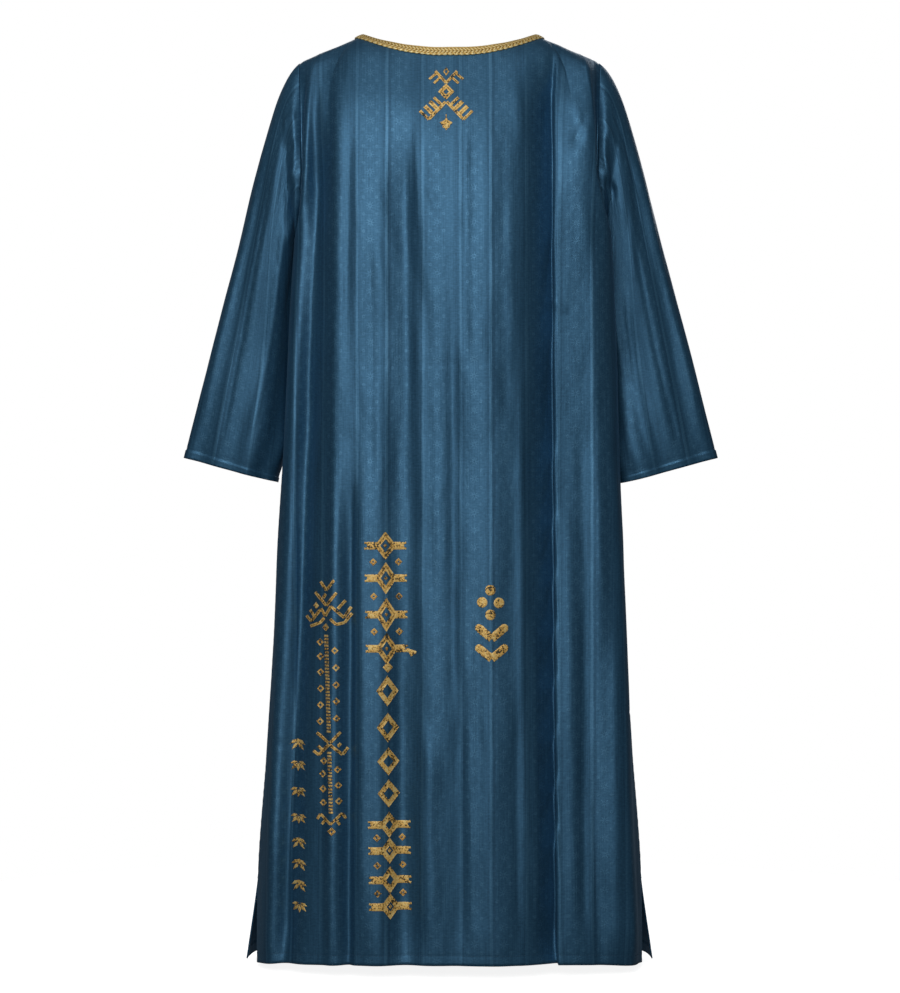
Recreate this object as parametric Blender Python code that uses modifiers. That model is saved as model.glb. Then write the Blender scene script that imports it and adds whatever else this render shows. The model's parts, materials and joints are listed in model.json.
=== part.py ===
"""A caftan on no wearer: back, front, two sleeves and a neck braid, as thin walls of cloth.

The garment keeps the hollow form that it has when it is worn. It hangs from the origin, which
lies between the two neck points, a little below them. +Z is up, the back faces -Y and the
wearer's left is -X. Sizes in the tables are millimetres, and a drop is a distance below the origin.
"""

import math

import bpy
import numpy as np
from mathutils import Vector
from mathutils.bvhtree import BVHTree

MM = 0.001

# Cloth and seams
WALL = 1.5
SEAM_GAP = 0.6
SHOULDER_GAP = 1.2
ARMHOLE_GAP = 1.2
CAP_GAP = 0.6
HEM_TURN = 14.0
HEM_WALL = 2.6

# Neck and shoulders
NECK_HALF_WIDTH = 124.5
NECK_RISE = 4.0
NECK_DEPTH = {"back": 66.0, "front": 84.0}
NECK_DROP = {"back": 28.0, "front": 108.0}
NECK_CURVE = {"back": 1.5, "front": 1.8}
NECK_SLOPE = {"back": math.radians(62.0), "front": math.radians(55.0)}
NECK_SLOPE_CURVE = 1.5
SHOULDER_HALF_WIDTH = 216.0
SHOULDER_DROP = 35.5
UNDERARM_DROP = 292.0

# The level that the shoulders' rounded top runs down to
YOKE_DROP = 200.0
CORNER_TURN = math.radians(40.0)
CORNER_REACH = 0.2

# How hard a yoke column is pulled straight at its two ends, as shares of its height, and how
# far its foot leans in
TOP_PULL = 0.33
FOOT_PULL = 0.42
FOOT_LEAN = 2.0

# Grid of the panels: neck and shoulder columns are counted on one half
NECK_COLUMNS = {"back": 13, "front": 11}
SHOULDER_COLUMNS = {"back": 7, "front": 5}
YOKE_ROWS = 7
ARMHOLE_DROPS = (222.0, 244.0, 262.0, 276.0, 286.0, UNDERARM_DROP)
BODY_ROWS = 18
SLIT_ROWS = 5
SLIT_TOP_DROP = 1208.0

# Each panel's level sections: half of its width, how far its middle stands off the side seams,
# how far off them the armhole cuts its edge, how flat its middle is and how steep its sides.
LEVEL_COLUMNS = ("drop", "half_width", "depth", "armhole", "flat", "steep")
LEVELS = {
    "back": (
        (200.0, 222.0, 112.0, 52.0, 0.70, 0.78),
        (222.0, 221.5, 113.5, 47.5, 0.70, 0.78),
        (244.0, 221.0, 114.5, 40.5, 0.70, 0.77),
        (262.0, 220.5, 115.5, 32.0, 0.70, 0.76),
        (276.0, 220.0, 116.0, 22.5, 0.70, 0.75),
        (286.0, 220.0, 116.5, 11.5, 0.70, 0.74),
        (292.0, 220.0, 117.0, 0.0, 0.70, 0.73),
        (340.0, 223.5, 117.5, 0.0, 0.70, 0.70),
        (420.0, 229.0, 117.0, 0.0, 0.70, 0.66),
        (580.0, 236.5, 117.0, 0.0, 0.70, 0.62),
        (782.0, 247.0, 124.0, 0.0, 0.70, 0.62),
        (1014.0, 262.5, 136.0, 0.0, 0.69, 0.62),
        (1208.0, 276.5, 146.0, 0.0, 0.68, 0.62),
        (1330.0, 277.0, 151.0, 0.0, 0.68, 0.62),
    ),
    "front": (
        (200.0, 222.0, 113.0, 52.0, 0.62, 0.78),
        (222.0, 221.5, 116.0, 47.5, 0.62, 0.78),
        (244.0, 221.0, 118.5, 40.5, 0.62, 0.77),
        (262.0, 220.5, 120.0, 32.0, 0.62, 0.76),
        (276.0, 220.0, 120.5, 22.5, 0.62, 0.75),
        (286.0, 220.0, 121.0, 11.5, 0.62, 0.74),
        (292.0, 220.0, 121.0, 0.0, 0.62, 0.73),
        (340.0, 223.5, 120.5, 0.0, 0.62, 0.70),
        (420.0, 229.0, 118.5, 0.0, 0.64, 0.66),
        (580.0, 236.5, 118.5, 0.0, 0.66, 0.62),
        (782.0, 247.0, 125.0, 0.0, 0.67, 0.62),
        (1014.0, 262.5, 138.0, 0.0, 0.67, 0.62),
        (1208.0, 276.5, 150.0, 0.0, 0.67, 0.62),
        (1330.0, 294.0, 157.0, 0.0, 0.67, 0.62),
    ),
}

# How far each panel's edge has swung off the side seam at the foot of the slits
SLIT_SWING = {"back": 12.0, "front": 6.0}

# How much the armhole crowds the outer columns rather than all of them
ARMHOLE_PULL = 6

# Hems: the drop at the middle and at the two corners
HEM_MIDDLE_DROP = {"back": 1314.0, "front": 1318.0}
HEM_CORNER_DROP = {"back": 1331.0, "front": 1329.0}

# Hanging folds: where each starts and ends across and down, how wide it is, and how far it
# stands out at its top and at its foot. A valley has a negative height.
FOLD_COLUMNS = ("x_top", "x_foot", "drop_top", "drop_foot", "half_width", "high_top", "high_foot")
FOLDS = {
    "back": (
        (-176.0, -200.0, 120.0, 1400.0, 24.0, -9.0, -21.0),
        (-152.0, -172.0, 180.0, 1400.0, 20.0, 6.0, 9.0),
        (-143.0, -146.0, 640.0, 1400.0, 13.0, -3.0, -12.0),
        (-96.0, -94.0, 420.0, 1400.0, 26.0, 2.0, 17.0),
        (-80.0, -48.0, 240.0, 1400.0, 22.0, -4.0, -9.0),
        (-12.0, -6.0, 150.0, 1400.0, 28.0, 5.0, 5.0),
        (44.0, 66.0, 130.0, 1400.0, 32.0, 6.0, 13.0),
        (129.0, 136.0, 70.0, 1400.0, 27.0, -13.0, -24.0),
        (184.0, 204.0, 120.0, 1400.0, 24.0, 7.0, 13.0),
        (222.0, 246.0, 420.0, 1300.0, 13.0, -3.0, -6.0),
    ),
    "front": (
        (-190.0, -214.0, 300.0, 1400.0, 26.0, -6.0, -14.0),
        (-128.0, -150.0, 260.0, 1400.0, 27.0, 5.0, 14.0),
        (-92.0, -98.0, 330.0, 1400.0, 22.0, -9.0, -19.0),
        (-34.0, -42.0, 380.0, 1400.0, 28.0, 4.0, 12.0),
        (30.0, 18.0, 300.0, 1400.0, 25.0, -5.0, -13.0),
        (84.0, 82.0, 260.0, 1400.0, 28.0, 7.0, 15.0),
        (120.0, 142.0, 420.0, 1400.0, 20.0, -6.0, -17.0),
        (188.0, 206.0, 330.0, 1400.0, 24.0, 5.0, 12.0),
    ),
}
FOLD_FADE = 140.0
SEAM_REACH = 26.0

# The sleeve's rings, each by its outer and inner ends, its half depth and how far forward it is
RING_COLUMNS = ("outer_x", "outer_drop", "inner_x", "inner_drop", "half_depth", "forward")
SLEEVE_RINGS = (
    (231.0, 54.0, 224.0, 304.0, 60.0, 0.0),
    (247.5, 90.0, 227.5, 319.0, 62.5, 1.0),
    (265.0, 147.0, 230.0, 340.0, 64.0, 4.0),
    (281.0, 205.0, 232.0, 368.0, 63.0, 7.0),
    (302.5, 291.0, 234.5, 418.0, 60.0, 11.0),
    (326.0, 379.0, 237.0, 480.0, 55.0, 15.0),
    (349.5, 466.0, 240.0, 545.0, 49.0, 19.0),
    (370.5, 550.0, 246.0, 606.0, 42.0, 22.0),
    (384.0, 605.5, 252.0, 640.0, 37.0, 24.0),
)
CAP_RING = (SHOULDER_HALF_WIDTH, SHOULDER_DROP, 220.0, UNDERARM_DROP, 57.0, 0.0)
RINGS_BETWEEN = 2
SLEEVE_ROUNDNESS = 2.25
SLEEVE_SWING = {"sleeve_left": 0.0, "sleeve_right": 4.0}

# Folds along a sleeve: where round it they start and end (0 outer edge, 0.25 back, 0.5 inner
# edge), from and to which share of its length, how wide, and how high
SLEEVE_FOLD_COLUMNS = ("round_top", "round_foot", "start", "end", "half_width", "high")
SLEEVE_FOLDS = (
    (0.20, 0.24, 0.10, 1.05, 0.045, 6.0),
    (0.10, 0.13, 0.06, 1.05, 0.040, -5.0),
    (0.34, 0.36, 0.22, 1.05, 0.045, -5.0),
    (0.78, 0.74, 0.12, 1.05, 0.050, 6.0),
    (0.66, 0.64, 0.25, 1.05, 0.040, -5.0),
    (0.88, 0.86, 0.20, 1.05, 0.040, -4.0),
)
SLEEVE_FOLD_RISE = 0.3
SLEEVE_FOLD_FALL = 0.1

# Neck braid
BRAID_WIDTH = 14.5
BRAID_THICK = 2.0
BRAID_EDGE_THICK = 1.4
BRAID_OFF_CLOTH = 0.95
BRAID_ABOVE_EDGE = 1.0
BRAID_PER_COLUMN = 2
BRAID_ACROSS = (0.0, 0.34, 0.68, 1.0)

# Points on a smooth line before even steps are read from it
SMOOTH_POINTS = 81
RING_POINTS = 241
LEAST_LENGTH = 1e-6

COLOURS = {
    "cloth": (0.050, 0.115, 0.185, 1.0),
    "braid": (0.52, 0.33, 0.09, 1.0),
}


def smooth_step(share):
    """0 below 0 and 1 above 1, with a soft start and end."""
    held = np.clip(share, 0.0, 1.0)
    return held * held * (3.0 - 2.0 * held)


def read_table(rows, columns, key, at):
    """A value of the table's column at one place down its first column, on a smooth curve."""
    table = np.array(rows)
    places = table[:, 0]
    values = table[:, columns.index(key)]
    slopes = np.gradient(values, places)
    at = float(np.clip(at, places[0], places[-1]))
    i = int(np.clip(np.searchsorted(places, at) - 1, 0, len(places) - 2))
    step = places[i + 1] - places[i]
    t = (at - places[i]) / step
    curve = (2 * t**3 - 3 * t**2 + 1) * values[i] + (t**3 - 2 * t**2 + t) * step * slopes[i]
    curve += (3 * t**2 - 2 * t**3) * values[i + 1] + (t**3 - t**2) * step * slopes[i + 1]
    low, high = sorted((values[i], values[i + 1]))
    return float(np.clip(curve, low, high))


def bezier(start, start_handle, end_handle, end, share):
    """Points of a cubic curve at these shares of it."""
    t = np.atleast_1d(share)[:, None]
    rest = 1.0 - t
    return (
        rest**3 * start
        + 3 * rest**2 * t * start_handle
        + 3 * rest * t**2 * end_handle
        + t**3 * end
    )


def evenly(points, shares):
    """The points at these shares of a line's length."""
    steps = np.linalg.norm(np.diff(points, axis=0), axis=1)
    run = np.concatenate([[0.0], np.cumsum(steps)]) / steps.sum()
    return np.stack([np.interp(shares, run, points[:, k]) for k in range(points.shape[1])], axis=1)


def half_section(side, drop, shares):
    """(x, outward) points of half a level section, from the middle at share 0 to the edge at 1."""
    level = {key: read_table(LEVELS[side], LEVEL_COLUMNS, key, drop) for key in LEVEL_COLUMNS[1:]}
    open_share = smooth_step((drop - SLIT_TOP_DROP) / (HEM_CORNER_DROP[side] - SLIT_TOP_DROP))
    seam = SEAM_GAP / 2 + SLIT_SWING[side] * open_share
    curve = bezier(
        np.array([0.0, level["depth"]]),
        np.array([level["flat"] * level["half_width"], level["depth"]]),
        np.array([level["half_width"], seam + level["steep"] * (level["depth"] - seam)]),
        np.array([level["half_width"], seam]),
        np.linspace(0.0, 1.0, SMOOTH_POINTS),
    )
    steps = np.linalg.norm(np.diff(curve, axis=0), axis=1)
    run = np.concatenate([[0.0], np.cumsum(steps)]) / steps.sum()
    cut = np.interp(-level["armhole"] - SEAM_GAP / 2, -curve[:, 1], run)
    shares = np.asarray(shares)
    return evenly(curve, shares - (1.0 - cut) * shares**ARMHOLE_PULL)


def top_edge(side, share):
    """(point, leaving direction) on the shoulder and neck line of one half; outward is +y here."""
    neck_share = NECK_COLUMNS[side] / (NECK_COLUMNS[side] + SHOULDER_COLUMNS[side])
    along_shoulder = np.array([SHOULDER_HALF_WIDTH - NECK_HALF_WIDTH, 0.0, -SHOULDER_DROP - NECK_RISE])
    along_shoulder /= np.linalg.norm(along_shoulder)
    corner = math.exp(-(((share - neck_share) / CORNER_REACH) ** 2))
    if share >= neck_share:
        along = (share - neck_share) / (1.0 - neck_share)
        point = np.array(
            [
                NECK_HALF_WIDTH + along * (SHOULDER_HALF_WIDTH - NECK_HALF_WIDTH),
                SHOULDER_GAP / 2,
                NECK_RISE - (SHOULDER_DROP + NECK_RISE) * along,
            ]
        )
        down = 0.0
    else:
        angle = (1.0 - share / neck_share) * math.pi / 2
        point = np.array(
            [
                NECK_HALF_WIDTH * math.cos(angle),
                SHOULDER_GAP / 2 + NECK_DEPTH[side] * math.sin(angle),
                NECK_RISE - NECK_DROP[side] * math.sin(angle) ** NECK_CURVE[side],
            ]
        )
        down = NECK_SLOPE[side] * math.sin(angle) ** NECK_SLOPE_CURVE
    aside = CORNER_TURN * corner
    leave = math.sin(aside) * along_shoulder
    leave = leave + math.cos(aside) * np.array([0.0, math.cos(down), -math.sin(down)])
    return point, leave / np.linalg.norm(leave)


def column_line(side, share, rows):
    """One column of half a panel in the yoke, from the top edge down to the yoke level."""
    top, leave = top_edge(side, share)
    foot_x, foot_y = half_section(side, YOKE_DROP, [share])[0]
    foot = np.array([foot_x, foot_y, -YOKE_DROP])
    tall = np.linalg.norm(foot - top)
    curve = bezier(
        top,
        top + TOP_PULL * tall * leave,
        foot + np.array([0.0, -FOOT_LEAN, FOOT_PULL * tall]),
        foot,
        np.linspace(0.0, 1.0, SMOOTH_POINTS),
    )
    return evenly(curve, np.linspace(0.0, 1.0, rows + 1))


def body_drops(side, share):
    """The drops of the rows below the yoke level, down to the hem, for one column."""
    hem = HEM_MIDDLE_DROP[side] + (HEM_CORNER_DROP[side] - HEM_MIDDLE_DROP[side]) * share**3
    upper = np.linspace(UNDERARM_DROP, SLIT_TOP_DROP, BODY_ROWS + 1)[1:]
    lower = np.linspace(SLIT_TOP_DROP, hem - HEM_TURN, SLIT_ROWS + 1)[1:]
    return list(ARMHOLE_DROPS) + list(upper) + list(lower) + [hem]


def fold_height(side, x, drop):
    """How far the hanging folds move the cloth out, or in, at this place."""
    out = 0.0
    for row in FOLDS[side]:
        fold = dict(zip(FOLD_COLUMNS, row))
        down = (drop - fold["drop_top"]) / (fold["drop_foot"] - fold["drop_top"])
        if down <= 0.0:
            continue
        middle = fold["x_top"] + (fold["x_foot"] - fold["x_top"]) * down
        high = fold["high_top"] + (fold["high_foot"] - fold["high_top"]) * min(down, 1.0)
        fade = smooth_step((drop - fold["drop_top"]) / FOLD_FADE)
        fade *= smooth_step((fold["drop_foot"] - drop) / FOLD_FADE)
        out += high * fade * math.exp(-(((x - middle) / fold["half_width"]) ** 2))
    return out


def panel_points(side):
    """The panel's outer surface as rows of points, each row running from -X to +X."""
    half = NECK_COLUMNS[side] + SHOULDER_COLUMNS[side]
    facing = -1.0 if side == "back" else 1.0
    columns = []
    for step in range(-half, half + 1):
        share = abs(step) / half
        hand = -1.0 if step < 0 else 1.0
        line = list(column_line(side, share, YOKE_ROWS))
        for drop in body_drops(side, share):
            x, y = half_section(side, drop, [share])[0]
            line.append(np.array([x, y, -drop]))
        columns.append(np.array(line) * np.array([hand, facing, 1.0]))
    points = np.stack(columns, axis=1)
    across = np.gradient(points, axis=1)
    normal = np.stack([across[..., 1], -across[..., 0]], axis=-1) * -facing
    normal /= np.maximum(np.linalg.norm(normal, axis=-1, keepdims=True), LEAST_LENGTH)
    folded = points.copy()
    for row in range(points.shape[0]):
        for column in range(points.shape[1]):
            x, y, z = points[row, column]
            edge = abs(points[row, -1, 0]) - abs(x) + abs(y - points[row, -1, 1])
            move = fold_height(side, x, -z) * smooth_step(edge / SEAM_REACH)
            folded[row, column, :2] += move * normal[row, column]
    return folded


def armhole_ring():
    """The +X armhole, from the shoulder point down its back edge and up its front edge."""
    rows = YOKE_ROWS + len(ARMHOLE_DROPS)
    back = panel_points("back")[: rows + 1, -1]
    front = panel_points("front")[: rows + 1, -1]
    ring = np.concatenate([back, front[::-1]])
    run = np.linalg.norm(np.diff(ring, axis=0), axis=1)
    return ring, np.concatenate([[0.0], np.cumsum(run)]) / run.sum()


def rounded_ring(row, shares):
    """Points round one sleeve ring at these shares of its length, from its outer end by the back."""
    ring = dict(zip(RING_COLUMNS, row))
    outer = np.array([ring["outer_x"], ring["forward"], -ring["outer_drop"]])
    inner = np.array([ring["inner_x"], ring["forward"], -ring["inner_drop"]])
    angles = np.linspace(0.0, 2 * math.pi, RING_POINTS)
    power = 2.0 / SLEEVE_ROUNDNESS
    along = np.sign(np.cos(angles)) * np.abs(np.cos(angles)) ** power
    aside = np.sign(np.sin(angles)) * np.abs(np.sin(angles)) ** power
    line = (outer + inner) / 2 + np.outer(along, (outer - inner) / 2)
    line = line + np.outer(aside, [0.0, -ring["half_depth"], 0.0])
    return evenly(line, shares)


def sleeve_rows(name):
    """The table's rows with smooth rows between them, the cuff's own hem row last but one."""
    table = np.array((CAP_RING,) + SLEEVE_RINGS)
    places = np.arange(len(table), dtype=float)
    fine = np.linspace(0.0, len(table) - 1.0, (len(table) - 1) * RINGS_BETWEEN + 1)
    last = 1.0 - HEM_TURN / np.linalg.norm(table[-1, :4] - table[-2, :4])
    fine = np.sort(np.append(fine[1:], len(table) - 2.0 + last))
    rows = []
    for at in fine:
        values = []
        for column in range(table.shape[1]):
            keyed = np.stack([places, table[:, column]], axis=1)
            values.append(read_table(keyed, ("place", "value"), "value", at))
        down = at / places[-1]
        values[0] += SLEEVE_SWING[name] * down
        values[2] += SLEEVE_SWING[name] * down**3
        rows.append((down, values))
    return rows


def sleeve_fold_height(around, down):
    out = 0.0
    for row in SLEEVE_FOLDS:
        fold = dict(zip(SLEEVE_FOLD_COLUMNS, row))
        share = (down - fold["start"]) / (fold["end"] - fold["start"])
        if not 0.0 < share < 1.0:
            continue
        middle = fold["round_top"] + (fold["round_foot"] - fold["round_top"]) * share
        fade = smooth_step(share / SLEEVE_FOLD_RISE) * smooth_step((1.0 - share) / SLEEVE_FOLD_FALL)
        out += fold["high"] * fade * math.exp(-(((around - middle) / fold["half_width"]) ** 2))
    return out


def sleeve_points(name):
    """Rings of the +X sleeve from the armhole to the cuff, and the seam ends apart by the gap."""
    ring, shares = armhole_ring()
    half = len(ring) // 2
    ring = np.delete(ring, half, axis=0)[:-1]
    shares = np.delete(shares, half)[:-1]
    ring[0, 1] = 0.0
    ring[half - 1, 1] = 0.0
    start = ring.copy()
    start[:, 0] += ARMHOLE_GAP + CAP_GAP * np.maximum(np.cos(2 * math.pi * shares), 0.0)
    rings = [start]
    for down, values in sleeve_rows(name):
        points = rounded_ring(values, shares)
        centre = points.mean(axis=0)
        for index, around in enumerate(shares):
            away = points[index] - centre
            away /= np.linalg.norm(away)
            points[index] += sleeve_fold_height(around, down) * away
        rings.append(points)
    return np.stack(rings)


def grid_faces(rows, columns, closed, start=0):
    """Triangles of a grid of points, closed round each row if asked, split alike on both halves."""
    faces = []
    for row in range(rows - 1):
        for column in range(columns if closed else columns - 1):
            here = start + row * columns + column
            after = start + row * columns + (column + 1) % columns
            if column < columns // 2:
                faces.append((here, here + columns, after))
                faces.append((after, here + columns, after + columns))
            else:
                faces.append((here, here + columns, after + columns))
                faces.append((here, after + columns, after))
    return faces


def mesh_object(name, points, closed, material, collection):
    """A sheet from rows of points in millimetres, closed round each row if asked."""
    faces = grid_faces(points.shape[0], points.shape[1], closed)
    mesh = bpy.data.meshes.new(name)
    mesh.from_pydata((points.reshape(-1, 3) * MM).tolist(), [], faces)
    mesh.materials.append(material)
    mesh.shade_smooth()
    obj = bpy.data.objects.new(name, mesh)
    collection.objects.link(obj)
    return obj


def add_wall(obj, hem_points):
    """Gives the sheet its thickness inwards, thicker along the turned hem."""
    group = obj.vertex_groups.new(name="hem")
    group.add(hem_points, 1.0, "REPLACE")
    solidify = obj.modifiers.new("Wall", "SOLIDIFY")
    solidify.thickness = HEM_WALL * MM
    solidify.offset = -1.0
    solidify.use_even_offset = False
    solidify.vertex_group = group.name
    solidify.thickness_vertex_group = WALL / HEM_WALL


def make_panel(side, material, collection):
    points = panel_points(side)
    obj = mesh_object(f"{side}_panel", points, False, material, collection)
    if side == "front":
        obj.data.flip_normals()
    columns = points.shape[1]
    first_hem = (points.shape[0] - 2) * columns
    add_wall(obj, list(range(first_hem, points.shape[0] * columns)))
    return obj


def make_sleeve(name, hand, material, collection):
    points = sleeve_points(name)
    points[..., 0] *= hand
    obj = mesh_object(name, points, True, material, collection)
    if hand > 0:
        obj.data.flip_normals()
    columns = points.shape[1]
    first_hem = (points.shape[0] - 2) * columns
    add_wall(obj, list(range(first_hem, points.shape[0] * columns)))
    return obj


def neck_line(side):
    """(points, directions away from the opening) along the neck edge, from +X to -X."""
    steps = 2 * BRAID_PER_COLUMN * NECK_COLUMNS[side]
    neck_share = NECK_COLUMNS[side] / (NECK_COLUMNS[side] + SHOULDER_COLUMNS[side])
    facing = -1.0 if side == "back" else 1.0
    points = []
    leaves = []
    for step in range(steps + 1):
        share = math.cos(math.pi * step / steps)
        angle = abs(math.asin(share)) / (math.pi / 2)
        point, leave = top_edge(side, neck_share * angle)
        mirror = np.array([-1.0 if share < 0 else 1.0, facing, 1.0])
        points.append(point * mirror)
        leaves.append(leave * mirror)
    return np.array(points), np.array(leaves)


def braid_points(surface):
    """Sections of the braid round the neck: its under side on the cloth, its face moved out."""
    back_points, back_leaves = neck_line("back")
    front_points, front_leaves = neck_line("front")
    points = np.concatenate([back_points[:-1], front_points[::-1][:-1]])
    leaves = np.concatenate([back_leaves[:-1], front_leaves[::-1][:-1]])
    tangents = np.roll(points, -1, axis=0) - np.roll(points, 1, axis=0)
    sections = []
    for point, leave, tangent in zip(points, leaves, tangents):
        tangent = tangent / np.linalg.norm(tangent)
        away = leave - leave.dot(tangent) * tangent
        away /= np.linalg.norm(away)
        out = np.cross(tangent, away)
        out *= math.copysign(1.0, out[2])
        under = []
        face = []
        for across in BRAID_ACROSS:
            guess = point + away * (across * BRAID_WIDTH - BRAID_ABOVE_EDGE)
            place, normal = surface.find_nearest(Vector(guess * MM))[:2]
            seat = np.array(place) / MM
            if across == 0.0:
                seat = seat - away * BRAID_ABOVE_EDGE
            dome = BRAID_EDGE_THICK + (BRAID_THICK - BRAID_EDGE_THICK) * math.sin(math.pi * across)
            normal = out if across == 0.0 else np.array(normal)
            under.append(seat + normal * BRAID_OFF_CLOTH)
            face.append(seat + normal * (BRAID_OFF_CLOTH + dome))
        sections.append(np.array(under + face[::-1]))
    return np.array(sections)


def panels_surface():
    """The two panels' outer surfaces as one tree of faces, to seat the braid on."""
    corners = []
    faces = []
    for side in ("back", "front"):
        points = panel_points(side) * MM
        if side == "front":
            points = points[:, ::-1]
        faces += grid_faces(points.shape[0], points.shape[1], False, len(corners))
        corners += [Vector(point) for point in points.reshape(-1, 3)]
    return BVHTree.FromPolygons(corners, faces)


def make_braid(material, collection):
    sections = braid_points(panels_surface())
    count, sides = sections.shape[:2]
    faces = []
    for section in range(count):
        for side in range(sides):
            here = section * sides
            there = (section + 1) % count * sides
            after = (side + 1) % sides
            faces.append((here + side, here + after, there + after, there + side))
    mesh = bpy.data.meshes.new("neck_braid")
    mesh.from_pydata((sections.reshape(-1, 3) * MM).tolist(), [], faces)
    mesh.materials.append(material)
    mesh.shade_smooth()
    obj = bpy.data.objects.new("neck_braid", mesh)
    collection.objects.link(obj)
    return obj


def make_material(name, colour, roughness, metallic):
    material = bpy.data.materials.new(name)
    material.use_nodes = True
    shader = material.node_tree.nodes["Principled BSDF"]
    shader.inputs["Base Color"].default_value = colour
    shader.inputs["Roughness"].default_value = roughness
    shader.inputs["Metallic"].default_value = metallic
    material.diffuse_color = colour
    return material


def clear_scene():
    for obj in list(bpy.data.objects):
        bpy.data.objects.remove(obj, do_unlink=True)


def main():
    clear_scene()
    collection = bpy.data.collections.new("caftan")
    bpy.context.scene.collection.children.link(collection)
    satin = make_material("blue_satin", COLOURS["cloth"], 0.45, 0.0)
    gold = make_material("gold_braid", COLOURS["braid"], 0.4, 0.6)
    make_panel("back", satin, collection)
    make_panel("front", satin, collection)
    make_sleeve("sleeve_left", -1.0, satin, collection)
    make_sleeve("sleeve_right", 1.0, satin, collection)
    make_braid(gold, collection)


main()
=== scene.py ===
import json
import math
import random

import bmesh
import bpy
import numpy as np
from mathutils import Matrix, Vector
from mathutils.bvhtree import BVHTree

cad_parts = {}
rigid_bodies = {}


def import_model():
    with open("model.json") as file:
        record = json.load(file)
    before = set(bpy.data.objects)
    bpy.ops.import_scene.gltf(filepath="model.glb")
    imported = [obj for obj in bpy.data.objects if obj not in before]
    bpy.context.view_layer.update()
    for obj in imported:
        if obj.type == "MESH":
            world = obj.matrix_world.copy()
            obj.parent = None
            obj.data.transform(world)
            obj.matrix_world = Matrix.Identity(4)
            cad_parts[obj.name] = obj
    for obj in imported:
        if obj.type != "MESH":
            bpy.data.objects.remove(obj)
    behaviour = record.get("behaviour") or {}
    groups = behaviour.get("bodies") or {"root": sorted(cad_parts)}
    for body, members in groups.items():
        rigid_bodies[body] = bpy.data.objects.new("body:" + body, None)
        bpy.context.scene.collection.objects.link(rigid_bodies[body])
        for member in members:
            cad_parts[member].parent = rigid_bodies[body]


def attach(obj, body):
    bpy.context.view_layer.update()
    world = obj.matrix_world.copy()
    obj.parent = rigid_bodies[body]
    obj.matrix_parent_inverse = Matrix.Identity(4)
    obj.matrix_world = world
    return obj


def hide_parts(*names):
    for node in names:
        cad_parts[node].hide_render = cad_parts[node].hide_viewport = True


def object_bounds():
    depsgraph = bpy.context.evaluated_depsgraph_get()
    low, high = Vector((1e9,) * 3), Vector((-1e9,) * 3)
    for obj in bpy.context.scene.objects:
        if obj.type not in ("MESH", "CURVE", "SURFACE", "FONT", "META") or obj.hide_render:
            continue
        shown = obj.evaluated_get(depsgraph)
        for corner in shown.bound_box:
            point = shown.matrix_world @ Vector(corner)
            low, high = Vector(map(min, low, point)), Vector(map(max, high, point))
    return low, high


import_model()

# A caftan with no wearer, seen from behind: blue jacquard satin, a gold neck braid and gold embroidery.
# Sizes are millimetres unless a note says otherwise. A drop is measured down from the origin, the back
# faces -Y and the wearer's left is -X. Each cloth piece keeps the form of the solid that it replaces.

mm = 0.001
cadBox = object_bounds()
print("the frame is loaded")


# Curves and tables

def smoothStep(share):
    held = np.clip(share, 0.0, 1.0)
    return held * held * (3.0 - 2.0 * held)


def mix(start, end, share):
    return start + (end - start) * share


def bell(distance, wide):
    return np.exp(-((distance / wide) ** 2))


def within(value, low, high, easeLow, easeHigh=None):
    # 1 between the two ends, fading to 0 at each
    return smoothStep((value - low) / easeLow) * smoothStep((high - value) / (easeHigh or easeLow))


def readTable(rows, at):
    # every column after the first, at these places down the first, on smooth curves
    table = np.array(rows, dtype=float)
    places, values = table[:, 0], table[:, 1:]
    slopes = np.gradient(values, places, axis=0)
    at = np.clip(np.atleast_1d(at), places[0], places[-1])
    i = np.clip(np.searchsorted(places, at) - 1, 0, len(places) - 2)
    step = (places[i + 1] - places[i])[:, None]
    t = (at - places[i])[:, None] / step
    curve = (2 * t**3 - 3 * t**2 + 1) * values[i] + (t**3 - 2 * t**2 + t) * step * slopes[i]
    curve += (3 * t**2 - 2 * t**3) * values[i + 1] + (t**3 - t**2) * step * slopes[i + 1]
    return np.clip(curve, np.minimum(values[i], values[i + 1]), np.maximum(values[i], values[i + 1]))


def bezier(start, startHandle, endHandle, end, count=81):
    t = np.linspace(0.0, 1.0, count)[:, None]
    rest = 1.0 - t
    return rest**3 * start + 3 * rest**2 * t * startHandle + 3 * rest * t**2 * endHandle + t**3 * end


def runOf(line):
    steps = np.linalg.norm(np.diff(line, axis=0), axis=1)
    return np.concatenate([[0.0], np.cumsum(steps)])


def runAlong(points, axis):
    # how far each point of a grid is along its column (axis 0) or its row (axis 1)
    steps = np.linalg.norm(np.diff(points, axis=axis), axis=2)
    return np.concatenate([np.zeros_like(steps.take([0], axis=axis)), np.cumsum(steps, axis=axis)], axis=axis)


def evenly(line, shares):
    run = runOf(line)
    return np.stack([np.interp(shares, run / run[-1], line[:, k]) for k in range(line.shape[1])], axis=1)


def unit(vectors):
    return vectors / np.maximum(np.linalg.norm(vectors, axis=-1, keepdims=True), 1e-9)


# The cut of the two panels

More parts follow.
